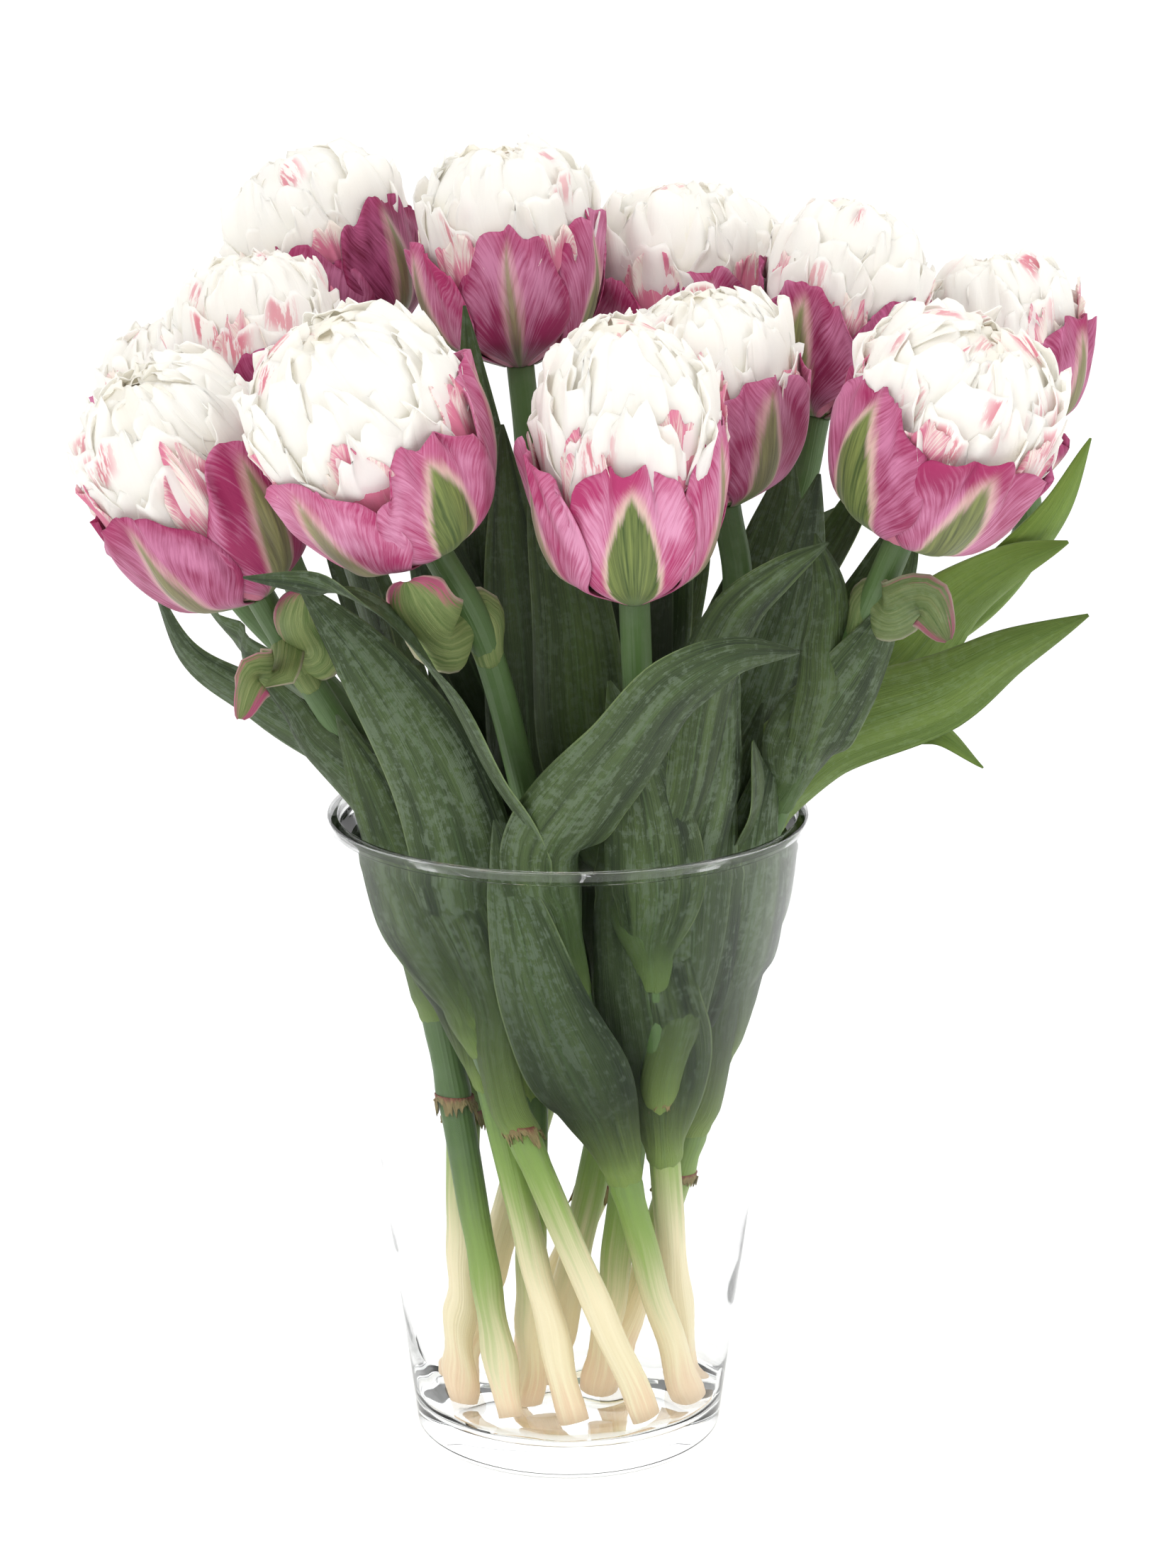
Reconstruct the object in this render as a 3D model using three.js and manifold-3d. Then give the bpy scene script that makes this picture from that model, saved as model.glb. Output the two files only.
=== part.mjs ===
// Twelve double tulips with their leaves, standing in a clear conical glass vase of water.
// Millimetres, +Z up. The origin is the centre of the vase's underside, and the front is -Y.
// Each tulip is three nodes: its leafy stem, its magenta outer petals and its white inner petals.

import * as THREE from 'three';
import { mergeVertices } from 'three/addons/utils/BufferGeometryUtils.js';
import Module from 'manifold-3d';

const wasm = await Module();
wasm.setup();

const GAP = 0.35; // clearance between pieces that touch
const UP = new THREE.Vector3(0, 0, 1);

// ---------------------------------------------------------------- driving dimensions

const VASE_HEIGHT = 250;
const RIM_RADIUS = 90;
const FOOT_RADIUS = 58;
const FOOT_FLAT = 52; // radius of the flat that the vase stands on
const RIM_WALL = 3;
const FOOT_WALL = 4.5;
const VASE_FLOOR = 13.5; // thickness of the glass under the water
const BEAD_HEIGHT = 3.5;
const BEAD_SWELL = 0.8;
const BEAD_MIDDLE = VASE_HEIGHT - 1.6;
const FOOT_EDGE = [FOOT_RADIUS - 2, 1.4]; // where the rounded foot turns up
const VASE_SIDES = 36;

const WATER_LEVEL = 244;
const WATER_SIDES = 24;
// The crowd of leaves and stems fills a plain well in the water: its radius at each height.
const WELL = [[49, 112], [60, 150], [71, 190], [83.5, WATER_LEVEL + 1]];

const STEM_RADIUS = 5.6;
const STEM_SIDES = 6;
const STEM_STEPS = 8;
const STEM_CLEAR = 3; // height of a stem's slanted foot, at its axis, above the vase floor
const NECK = 36; // length of stem under a bloom that is already in line with it

const BLADE = 0.9; // thickness of a leaf
const CLASP = 14; // height that a leaf follows its stem before the two part
const LEAF_ROWS = 5;
const BRACT_ROWS = 4; // the small leaves under some blooms
const COLUMNS = 2; // strips across a leaf or a petal
const PETAL = 1.1; // thickness of a petal
const OUTER_PETALS = 5;
const RECEPTACLE = 0.12; // height of the solid base under the white petals, as a share of the bloom

// Each tulip: where its stem stands on the vase floor, where it passes the rim's height, the points
// of a bend if it has one, where its bloom begins, the way and length that the bloom points, the
// bloom's radius, and its turn in degrees. A leaf has the height where it leaves its stem, the
// points that its midrib passes, the last one its tip, its width, and the angle in degrees that its
// outer face looks to (270 is the front).
const TULIPS = [
  { name: 'left_front', foot: [28, -26], rim: [-62, -36], bloom: [-112, -45, 343],
    lean: [-45, -18, 87], radius: 36, spin: 20, leaves: [
      { from: 165, via: [[-36, -56, 232], [-47, -66, 277], [-71, -82, 325], [-95, -92, 358]],
        width: 47, face: 262 },
      { from: 130, via: [[-33, -47, 198], [-50, -50, 236], [-67, -43, 261], [-92, -34, 286],
        [-116, -26, 311]], width: 40, face: 232 },
      { from: 312, via: [[-106, -60, 318], [-113, -74, 318], [-117, -84, 306]], width: 18,
        face: 250 },
      { from: 306, via: [[-94, -50, 322], [-97, -62, 336], [-95, -66, 348]], width: 26,
        face: 262 },
    ] },
  { name: 'left_middle', foot: [2, -28], rim: [-54, 2], bloom: [-110, 14, 380],
    lean: [-10, 3, 80], radius: 32, spin: 5, leaves: [
      { from: 190, via: [[-54, 1, 236], [-80, 6, 264], [-115, 2, 289], [-142, -6, 311],
        [-155, -10, 342]], width: 32, face: 225 },
      { from: 222, via: [[-62, 16, 275], [-80, 36, 325], [-94, 46, 370], [-99, 50, 406]],
        width: 32, face: 200 },
    ] },
  { name: 'left_back', foot: [-20, -25], rim: [-66, 36], bloom: [-140, 74, 360],
    lean: [-14, 12, 65], radius: 33, spin: 50, leaves: [
      { from: 165, via: [[-59, 28, 225], [-70, 33, 252], [-106, 62, 286], [-136, 88, 300],
        [-152, 100, 322]], width: 34, face: 170 },
      { from: 205, via: [[-59, 54, 255], [-76, 84, 300], [-92, 104, 345], [-98, 116, 380]],
        width: 36, face: 125 },
    ] },
  { name: 'back_left', foot: [-37, -8], rim: [-36, 58], bloom: [-75, 90, 411],
    lean: [-35, 12, 72], radius: 34, spin: 30, leaves: [
      { from: 175, via: [[-36, 68, 240], [-40, 84, 275], [-48, 108, 325], [-60, 126, 372]],
        width: 40, face: 105 },
      { from: 140, via: [[-20, 60, 205], [-14, 76, 248], [-4, 100, 295], [2, 118, 345]],
        width: 40, face: 92 },
    ] },
  { name: 'back_middle', foot: [-13, -8], rim: [-12, 30], bloom: [-18, 50, 411],
    lean: [-8, 4, 86], radius: 34, spin: -18, leaves: [
      { from: 232, via: [[-4, 40, 285], [6, 52, 340], [10, 60, 392]], width: 34, face: 90 },
      { from: 255, via: [[-22, 18, 315], [-30, 8, 372], [-38, 4, 441]], width: 36, face: 268 },
      { from: 200, via: [[-20, 16, 262], [-38, 6, 310], [-50, 0, 352], [-56, -2, 388]],
        width: 40, face: 265 },
    ] },
  { name: 'back_right', foot: [-36, 20], rim: [20, 66], bloom: [42, 92, 393],
    lean: [0, 10, 82], radius: 38, spin: 0, leaves: [
      { from: 165, via: [[20, 76, 235], [30, 88, 272], [46, 112, 320], [56, 128, 362]],
        width: 40, face: 80 },
      { from: 195, via: [[42, 68, 250], [62, 86, 290], [88, 102, 325], [108, 108, 345]],
        width: 36, face: 50 },
      { from: 190, via: [[26, 52, 275], [33, 48, 320], [35, 46, 360], [33, 45, 390]],
        width: 38, face: 268 },
    ] },
  { name: 'right_middle', foot: [-8, 16], rim: [40, 14], bloom: [94, 36, 394],
    lean: [18, 6, 81], radius: 31, spin: 25, leaves: [
      { from: 200, via: [[58, 32, 262], [82, 48, 305], [106, 58, 345], [124, 60, 382]],
        width: 34, face: 40 },
      { from: 215, via: [[54, 4, 285], [68, 0, 325], [78, -2, 360], [83, -2, 388]],
        width: 38, face: 272 },
    ] },
  { name: 'right_back', foot: [-17, 38], rim: [72, 22], bloom: [172, 68, 379],
    bend: [[124, 40, 284], [159, 57, 320]], lean: [-10, 8, 72], radius: 31, spin: 40, leaves: [
      { from: 195, via: [[61, 4, 240], [90, -2, 279], [124, -8, 306], [145, -13, 333],
        [164, -18, 348], [184, -24, 358]], width: 44, face: 295 },
      { from: 234, via: [[103, 12, 290], [140, -2, 322], [165, -12, 346], [180, -20, 369],
        [191, -26, 397]], width: 32, face: 300 },
      { from: 180, via: [[66, 16, 240], [90, 12, 268], [116, 4, 279], [138, -3, 281],
        [156, -8, 268]], width: 24, face: 320 },
      { from: 259, via: [[97, 24, 291], [112, 26, 316], [124, 28, 342], [130, 32, 362]],
        width: 36, face: 265 },
    ] },
  { name: 'right_front', foot: [14, 38], rim: [75, -24], bloom: [119, -75, 370],
    lean: [30, -22, 81], radius: 37, spin: 2, leaves: [
      { from: 200, via: [[59, -23, 240], [92, -25, 281], [138, -28, 301], [163, -36, 319],
        [190, -44, 335]], width: 42, face: 284 },
      { from: 330, via: [[116, -78, 344], [127, -92, 350], [135, -98, 338]], width: 26,
        face: 280 },
      { from: 265, via: [[92, -60, 316], [94, -76, 350], [88, -86, 374]], width: 24, face: 290 },
      { from: 120, via: [[52, -8, 170], [61, -19, 215], [68, -34, 248], [71, -54, 272],
        [67, -76, 296]], width: 34, face: 330 },
      { from: 258, via: [[86, -44, 284], [97, -57, 306], [109, -68, 330], [117, -74, 350]],
        width: 38, face: 285 },
    ] },
  { name: 'front_middle', foot: [38, 20], rim: [28, -66], bloom: [24, -98, 353],
    lean: [-4, -18, 103], radius: 33, spin: -18, leaves: [
      { from: 195, via: [[13, -55, 258], [6, -62, 294], [2, -68, 339], [-5, -72, 381],
        [-9, -72, 422]], width: 42, face: 265 },
      { from: 215, via: [[42, -80, 272], [50, -96, 322], [61, -106, 350], [76, -106, 364],
        [92, -101, 374]], width: 28, face: 290 },
      { from: 140, via: [[43, -45, 196], [46, -61, 246], [53, -72, 280], [56, -80, 312],
        [58, -82, 342]], width: 38, face: 298 },
    ] },
  { name: 'front_left', foot: [41, -4], rim: [-10, -60], bloom: [-46, -95, 370],
    lean: [-41, -25, 84], radius: 38, spin: 10, leaves: [
      { from: 190, via: [[-2, -66, 228], [-7, -80, 251], [3, -93, 272], [20, -109, 299],
        [38, -124, 326], [57, -126, 338], [82, -107, 336]], width: 44, face: 290 },
      { from: 326, via: [[-42, -104, 340], [-51, -122, 354], [-55, -130, 366]], width: 30,
        face: 262 },
      { from: 205, via: [[-12, -78, 258], [-27, -92, 286], [-45, -110, 326], [-66, -130, 356],
        [-86, -136, 366], [-112, -122, 366]], width: 26, face: 200 },
      { from: 210, via: [[-12, -44, 268], [-16, -48, 320], [-20, -54, 364], [-23, -58, 408]],
        width: 38, face: 262 },
      { from: 112, via: [[6, -50, 153], [-9, -63, 193], [-18, -73, 230], [-26, -82, 268]],
        width: 44, face: 255 },
    ] },
  { name: 'middle', foot: [10, 10], rim: [38, -18], bloom: [58, -32, 374],
    lean: [-10, -4, 82], radius: 32, spin: 15, leaves: [
      { from: 185, via: [[48, -12, 240], [64, -22, 280], [76, -30, 318], [85, -40, 355],
        [91, -48, 388]], width: 46, face: 290 },
      { from: 240, via: [[28, -18, 300], [30, -8, 350], [34, -4, 398]], width: 30, face: 230 },
      { from: 205, via: [[22, -16, 275], [8, -20, 320], [0, -22, 362], [-3, -22, 396]],
        width: 40, face: 268 },
    ] },
];

// ---------------------------------------------------------------- solids

// A closed geometry as a solid that can be joined and cut.
function solidOf(geometry) {
  const bare = new THREE.BufferGeometry();
  bare.setAttribute('position', geometry.getAttribute('position'));
  bare.setIndex(geometry.getIndex());
  const merged = mergeVertices(bare, 1e-4);
  const place = merged.getAttribute('position').array;
  const index = merged.getIndex().array;
  const triangles = [];
  for (let i = 0; i < index.length; i += 3) {
    const [a, b, c] = index.slice(i, i + 3);
    if (a !== b && b !== c && c !== a) {
      triangles.push(a, b, c);
    }
  }
  const mesh = (list) => new wasm.Mesh({
    numProp: 3,
    vertProperties: new Float32Array(place),
    triVerts: new Uint32Array(list),
  });
  const solid = new wasm.Manifold(mesh(triangles));
  return solid.volume() > 0 ? solid : new wasm.Manifold(mesh(triangles.reverse()));
}

// The outer skin of a solid's largest piece: hollows are filled and loose scraps dropped.
function oneBody(solid) {
  const pieces = solid.decompose();
  return pieces.reduce((best, piece) => (piece.volume() > best.volume() ? piece : best));
}

function joined(solids) {
  return solids.reduce((whole, solid) => whole.add(solid));
}

function meshOf(name, solid, material) {
  const { vertProperties, triVerts, numProp } = solid.getMesh();
  const place = new Float32Array(triVerts.length * 3);
  triVerts.forEach((corner, i) => {
    place.set(vertProperties.subarray(corner * numProp, corner * numProp + 3), i * 3);
  });
  const geometry = new THREE.BufferGeometry();
  geometry.setAttribute('position', new THREE.BufferAttribute(place, 3));
  geometry.computeVertexNormals();
  const mesh = new THREE.Mesh(geometry, material);
  mesh.name = name;
  return mesh;
}

// A thin closed sheet round the surface pointAt(u, v), with u from root to tip and v from -1 to 1.
// Its front and back are split into triangles alike.
function sheet(pointAt, rows, thickness) {
  const across = COLUMNS + 1;
  const count = (rows + 1) * across;
  const place = [];
  for (const side of [0.5, -0.5]) {
    for (let k = 0; k < count; k += 1) {
      const u = Math.floor(k / across) / rows;
      const v = (2 * (k % across)) / COLUMNS - 1;
      const point = pointAt(u, v);
      const along = pointAt(Math.min(1, u + 0.02), v).sub(pointAt(Math.max(0, u - 0.02), v));
      const beside = pointAt(u, v + 0.03).sub(pointAt(u, v - 0.03));
      const normal = along.cross(beside).normalize();
      place.push(...point.addScaledVector(normal, side * thickness).toArray());
    }
  }
  const index = [];
  for (let i = 0; i < rows; i += 1) {
    for (let j = 0; j < COLUMNS; j += 1) {
      const a = i * across + j;
      const [b, c, d] = [a + 1, a + across, a + across + 1];
      index.push(a, b, d, a, d, c);
      index.push(a + count, d + count, b + count, a + count, c + count, d + count);
    }
  }
  const edge = [];
  for (let j = 0; j < COLUMNS; j += 1) edge.push(j);
  for (let i = 0; i < rows; i += 1) edge.push(i * across + COLUMNS);
  for (let j = COLUMNS; j > 0; j -= 1) edge.push(rows * across + j);
  for (let i = rows; i > 0; i -= 1) edge.push(i * across);
  edge.forEach((a, k) => {
    const b = edge[(k + 1) % edge.length];
    index.push(a, a + count, b + count, a, b + count, b);
  });
  const geometry = new THREE.BufferGeometry();
  geometry.setAttribute('position', new THREE.Float32BufferAttribute(place, 3));
  geometry.setIndex(index);
  return solidOf(geometry);
}

const lathe = (points, sides) =>
  solidOf(new THREE.LatheGeometry(points.map(([r, h]) => new THREE.Vector2(r, h)), sides)
    .rotateX(Math.PI / 2));

const smooth = (low, high, x) => THREE.MathUtils.smoothstep(x, low, high);

// ---------------------------------------------------------------- vase and water

// Outer radius of the plain cone at height z, and the radius of its inside.
const outerRadius = (z) => FOOT_RADIUS + ((RIM_RADIUS - FOOT_RADIUS) * z) / VASE_HEIGHT;
const innerRadius = (z) =>
  outerRadius(z) - THREE.MathUtils.lerp(FOOT_WALL, RIM_WALL, z / VASE_HEIGHT);

function vaseSolid() {
  const bead = VASE_HEIGHT - BEAD_HEIGHT;
  return lathe([
    [0, 0],
    [FOOT_FLAT, 0],
    FOOT_EDGE,
    [outerRadius(6), 6],
    [outerRadius(bead), bead],
    [RIM_RADIUS + BEAD_SWELL, BEAD_MIDDLE],
    [RIM_RADIUS - RIM_WALL / 2, VASE_HEIGHT],
    [innerRadius(VASE_HEIGHT) - BEAD_SWELL / 2, BEAD_MIDDLE],
    [innerRadius(bead), bead],
    [innerRadius(VASE_FLOOR + 5), VASE_FLOOR + 5],
    [innerRadius(VASE_FLOOR) - 5, VASE_FLOOR],
    [0, VASE_FLOOR],
  ], VASE_SIDES);
}

// The water keeps clear of the glass, and of what stands in it: each stem has its own hole up to the
// well that the leaves crowd.
function waterSolid() {
  const clear = 2 * GAP;
  const bottom = VASE_FLOOR + GAP;
  const body = lathe([
    [0, bottom],
    [innerRadius(VASE_FLOOR) - 5 - clear, bottom],
    [innerRadius(VASE_FLOOR + 5) - clear, VASE_FLOOR + 5],
    [innerRadius(WATER_LEVEL) - clear, WATER_LEVEL],
    [0, WATER_LEVEL],
  ], WATER_SIDES);
  const [[, wellFloor]] = WELL;
  const well = lathe([[0, wellFloor], ...WELL, [0, WATER_LEVEL + 1]], WATER_SIDES);
  const holes = TULIPS.map((tulip) => stemSolid(tulip, clear));
  return oneBody(body.subtract(joined([well, ...holes])));
}

// ---------------------------------------------------------------- stems and leaves

const bloomAxis = (tulip) => new THREE.Vector3(...tulip.lean).normalize();

function stemCurve(tulip) {
  const bloom = new THREE.Vector3(...tulip.bloom);
  const neck = bloom.clone().addScaledVector(bloomAxis(tulip), -NECK);
  const rim = new THREE.Vector3(...tulip.rim, VASE_HEIGHT);
  const foot = new THREE.Vector3(...tulip.foot, VASE_FLOOR + STEM_CLEAR);
  const bend = (tulip.bend ?? []).map((point) => new THREE.Vector3(...point));
  return new THREE.CatmullRomCurve3([foot, rim, ...bend, neck, bloom]);
}

function stemSolid(tulip, extra = 0) {
  const section = new THREE.Shape();
  section.absarc(0, 0, STEM_RADIUS + extra, 0, 2 * Math.PI);
  return solidOf(new THREE.ExtrudeGeometry(section, {
    curveSegments: STEM_SIDES / 2,
    steps: STEM_STEPS,
    extrudePath: stemCurve(tulip),
  }));
}

// The point of the stem at height z.
function stemAt(tulip, z) {
  const curve = stemCurve(tulip);
  let [low, high] = [0, 1];
  for (let i = 0; i < 20; i += 1) {
    const middle = (low + high) / 2;
    if (curve.getPoint(middle).z < z) low = middle;
    else high = middle;
  }
  return curve.getPoint(low);
}

// A leaf is a channelled blade: it clasps its stem at the root, is widest near its middle, and
// narrows to its tip. Its edges turn in towards the stem, and wave.
function leafSolid(tulip, leaf) {
  const root = stemAt(tulip, leaf.from);
  const rise = stemAt(tulip, leaf.from + CLASP);
  const via = leaf.via.map((point) => new THREE.Vector3(...point));
  const midrib = new THREE.CatmullRomCurve3([root, rise, ...via]);
  const turn = THREE.MathUtils.degToRad(leaf.face);
  const outward = new THREE.Vector3(Math.cos(turn), Math.sin(turn), 0);
  const half = leaf.width / 2;
  const blade = (u, v) => {
    const t = Math.min(1, Math.max(0, u));
    const tangent = midrib.getTangent(t);
    const beside = tangent.clone().cross(outward).normalize();
    const out = beside.clone().cross(tangent);
    const spread = (0.22 + 0.78 * smooth(0.04, 0.5, t)) * (1 - 0.95 * t ** 3.2);
    const channel = THREE.MathUtils.lerp(0.5, 0.16, smooth(0, 0.6, t));
    const wave = 0.09 * Math.sin(11 * t + 1.6 * v + leaf.from) * smooth(0.25, 0.5, t);
    return midrib.getPoint(t)
      .addScaledVector(beside, v * half * spread)
      .addScaledVector(out, (wave - channel) * half * spread * v * v);
  };
  return sheet(blade, via.length > 3 ? LEAF_ROWS : BRACT_ROWS, BLADE);
}

function leafyStem(tulip) {
  const leaves = tulip.leaves.map((leaf) => leafSolid(tulip, leaf));
  return oneBody(joined([stemSolid(tulip), ...leaves]));
}

// ---------------------------------------------------------------- blooms, +Z along the bloom

// Radius of the barrel of white petals at a share of its length, as a share of its widest.
const barrel = (s) => Math.sqrt(Math.max(0, 1 - (Math.abs(s - 0.56) / 0.59) ** 2.3));

const bloomLength = ({ lean }) => new THREE.Vector3(...lean).length();

// A petal that lies round the barrel, centred on the angle at and spanning 2 * half. It starts at
// share low of the length and ends at share high. Its radius is the barrel's times reach, which
// changes to reachHigh above the outer petals, plus lift. Its width narrows to the share tip, and
// notch raises and lowers its top edge.
function petal({ tulip, at, half, low, high, reach, reachHigh, lift, tip, notch, rows }) {
  const length = bloomLength(tulip);
  const surface = (u, v) => {
    const s = low + (high - low) * u;
    const narrow = 1 - (1 - tip) * Math.max(0, 2 * u - 1) ** 2;
    const angle = at + v * half * (0.6 + 0.4 * smooth(0, 0.5, u)) * narrow;
    const share = THREE.MathUtils.lerp(reach, reachHigh, smooth(0.42, 0.72, s));
    const r = tulip.radius * barrel(Math.min(s, 0.96)) * share + lift;
    const h = length * s + notch * u * u * Math.cos(4 * v + 3 * at);
    return new THREE.Vector3(r * Math.cos(angle), r * Math.sin(angle), h);
  };
  return sheet(surface, rows, PETAL);
}

// The core is smaller than the barrel, and the petals stand out of it in three layers.
function whitePetals(tulip) {
  const length = bloomLength(tulip);
  const ring = (s, share) => [tulip.radius * barrel(s) * share, length * s];
  const core = lathe([
    [0, length * RECEPTACLE + GAP],
    ring(0.13, 0.8),
    ring(0.55, 0.85),
    ring(0.76, 0.92),
    ring(0.86, 0.66),
    [0, length * 0.84],
  ], 8);
  const layers = [
    { count: 4, low: 0.34, high: 0.88, half: 0.78, reach: 0.9, reachHigh: 1.03, notch: 1.5 },
    { count: 3, low: 0.64, high: 0.95, half: 0.95, reach: 0.78, reachHigh: 0.74, notch: 1.5 },
    { count: 2, low: 0.76, high: 1, half: 1.2, reach: 0.42, reachHigh: 0.4, notch: 1.5 },
  ];
  const petals = layers.flatMap((layer, k) => Array.from({ length: layer.count }, (_, i) =>
    petal({ ...layer, tulip, lift: 0, tip: 0.8, rows: 2, at: (2 * Math.PI * i) / layer.count + k })));
  return oneBody(joined([core, ...petals]));
}

// The outer petals stand by turns inside and outside their neighbours, and grow from a shallow
// receptacle.
function outerPetals(tulip) {
  const length = bloomLength(tulip);
  const wall = (s, out) => [tulip.radius * barrel(s) + out, length * s];
  const receptacle = lathe([
    [0, GAP],
    [STEM_RADIUS, GAP],
    wall(0.06, 4.4),
    wall(RECEPTACLE, 5.2),
    [0, length * RECEPTACLE],
  ], 8);
  const petals = Array.from({ length: OUTER_PETALS }, (_, i) => {
    const outside = i % 2 ? 1 : Math.floor(i / (OUTER_PETALS - 1)) / 2;
    return petal({
      tulip, at: (2 * Math.PI * i) / OUTER_PETALS, half: 0.61 + 0.1 * outside,
      low: 0.09, high: 0.64 - 0.06 * outside, reach: 1, reachHigh: 1,
      lift: 1.1 + 2.4 * outside, tip: 0.1, notch: 0, rows: 3,
    });
  });
  return oneBody(joined([receptacle, ...petals]));
}

// ---------------------------------------------------------------- materials and assembly

const finish = (color, roughness, more = {}) =>
  new THREE.MeshStandardMaterial({ color, roughness, metalness: 0, ...more });

const vaseWithTulips = new THREE.Group();
vaseWithTulips.add(meshOf('vase', vaseSolid(),
  finish(0xe8f2f4, 0.05, { transparent: true, opacity: 0.3 })));
vaseWithTulips.add(meshOf('water', waterSolid(),
  finish(0xdfeef0, 0.02, { transparent: true, opacity: 0.25 })));

for (const tulip of TULIPS) {
  vaseWithTulips.add(meshOf(`stem_${tulip.name}`, leafyStem(tulip), finish(0x4f7350, 0.55)));
  const bloom = new THREE.Group();
  bloom.position.set(...tulip.bloom);
  bloom.quaternion.setFromUnitVectors(UP, bloomAxis(tulip));
  bloom.rotateZ(THREE.MathUtils.degToRad(tulip.spin));
  bloom.add(meshOf(`outer_petals_${tulip.name}`, outerPetals(tulip), finish(0xb4548f, 0.5)));
  bloom.add(meshOf(`white_petals_${tulip.name}`, whitePetals(tulip), finish(0xf4efe4, 0.6)));
  vaseWithTulips.add(bloom);
}

export default vaseWithTulips;
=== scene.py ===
"""Twelve double tulips in a clear conical glass vase of water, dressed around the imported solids.

Every piece is a surface worked out on a grid of two numbers: u runs from the root of a petal or
leaf to its tip, and v from one edge to the other, -1 to 1. The tables are in millimetres, as in
the solids' source, and MM turns the finished points into metres. The front is -Y.
"""

import math

import bpy
import numpy as np
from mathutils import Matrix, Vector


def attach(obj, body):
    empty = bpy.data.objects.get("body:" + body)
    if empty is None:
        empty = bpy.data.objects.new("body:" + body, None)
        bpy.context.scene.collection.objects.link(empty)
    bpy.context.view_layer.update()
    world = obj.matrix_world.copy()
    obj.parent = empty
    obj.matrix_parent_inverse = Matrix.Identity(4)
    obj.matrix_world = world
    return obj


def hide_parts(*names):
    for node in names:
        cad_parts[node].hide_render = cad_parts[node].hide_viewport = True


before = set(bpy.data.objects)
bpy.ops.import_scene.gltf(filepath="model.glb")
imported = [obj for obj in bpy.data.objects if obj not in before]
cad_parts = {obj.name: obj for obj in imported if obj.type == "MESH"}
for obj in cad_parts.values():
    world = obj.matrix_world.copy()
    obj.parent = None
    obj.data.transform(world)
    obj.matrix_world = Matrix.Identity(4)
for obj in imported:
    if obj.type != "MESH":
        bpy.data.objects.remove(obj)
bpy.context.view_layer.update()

MM = 0.001

# -------- driving dimensions

VASE_HEIGHT = 250
RIM_RADIUS = 90
FOOT_RADIUS = 58
RIM_WALL = 3
FOOT_WALL = 4.5
VASE_FLOOR = 13.5
BEAD = 3.5
WATER_LEVEL = 244
STEM_RADIUS = 5.4
STEM_FOOT = 16.5
CUP_FOOT = 4.5
NECK = 36
GUARDS = 5
DOME_MIDDLE = 0.58  # height of the white dome's widest part, as a share of the bloom
DOME_TOP = 0.985
HEART_REACH = 0.79  # size of the round heart inside the white petals, as a share of the dome's
SQUARE = 2.5  # how square the dome's shoulders are: 2 makes an ellipsoid
CORNER = 8  # radius of the rounded edge at the foot, outside and in
CORNER_POINTS = 7
RIM_ROUND = 1.1
FOOT_TOP = 26  # below this height the glass takes the foot's tint
LEAF_GAP = 1.6  # room between a stem and the leaf in front of it
KNOTS_BELOW = 240  # leaves that start lower than this swell their stem

# Indices of refraction. Water's own is 1.33, but only with less do the stems' feet appear where the
# photograph shows them.
GLASS_INDEX, WATER_INDEX = 1.5, 1.12

# Rows and columns of the grids.
ROUND = 144  # columns of the vase and the water
STEM_GRID = 110, 20
LONG_LEAF, SHORT_LEAF = (64, 19), (34, 19)
COLLAR_GRID = 7, 61
OUTER_GRID, WHITE_GRID = (30, 27), (23, 25)
HEART_COLUMNS = 24


def blade(start, width, face, *via, pink=0.0, lit=0.0):
    """A leaf's row in the table: the height on the stem where it starts, its width, the way that it
    faces in degrees, the points that its midrib runs through, how pink its tip is, as a bract's is,
    and how far it is lit from behind."""
    return dict(start=start, width=width, face=face, via=via, pink=pink, lit=lit)


# As in the solids' source: foot on the vase floor, point at the rim's height, start of the bloom,
# bend, the bloom's direction and length, radius, turn, and the leaves. pale is the height below
# which the stem turns from green to ivory, dark the depth of the outer petals' colour, green how
# far their green flame spreads, flame that of single petals by their number, tall how much higher
# single ones stand as a share of the bloom, and fleck how many white petals carry raspberry flecks.
# collar is the height of a ragged brown ring left where an old leaf was, and crowd holds the leaves
# at the rim that the solids don't have.
TULIPS = {}
TULIPS["left_front"] = dict(
    foot=(28, -26), rim=(-62, -36), bloom=(-112, -45, 343), lean=(-45, -18, 87), radius=36, spin=20,
    pale=108, dark=0.45, green=0.4, fleck=0.1, tall={4: 0.08}, collar=138, leaves=[
        blade(165, 47, 262, (-36, -56, 232), (-47, -66, 277), (-71, -82, 325), (-95, -92, 358)),
        blade(130, 40, 232, (-33, -47, 198), (-50, -50, 236), (-67, -43, 261), (-92, -34, 286),
              (-116, -26, 311)),
        blade(312, 18, 250, (-106, -60, 318), (-113, -74, 318), (-117, -84, 306), pink=1),
        blade(306, 26, 262, (-94, -50, 322), (-97, -62, 336), (-95, -66, 348), pink=1),
    ], crowd=[
        blade(170, 36, 250, (-52, -42, 212), (-62, -44, 240), (-72, -50, 270), (-84, -54, 300)),
    ])
TULIPS["left_middle"] = dict(
    foot=(2, -28), rim=(-54, 2), bloom=(-110, 14, 380), lean=(-10, 3, 80), radius=32, spin=5,
    pale=104, dark=0.6, green=0.2, fleck=0.2, leaves=[
        blade(190, 32, 225, (-54, 1, 236), (-80, 6, 264), (-115, 2, 289), (-142, -6, 311),
              (-155, -10, 342)),
        blade(222, 32, 200, (-62, 16, 275), (-80, 36, 325), (-94, 46, 370), (-99, 50, 406)),
    ], crowd=[
        blade(145, 46, 255, (-36, -22, 190), (-46, -30, 225), (-56, -32, 258), (-72, -30, 300)),
    ])
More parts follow.
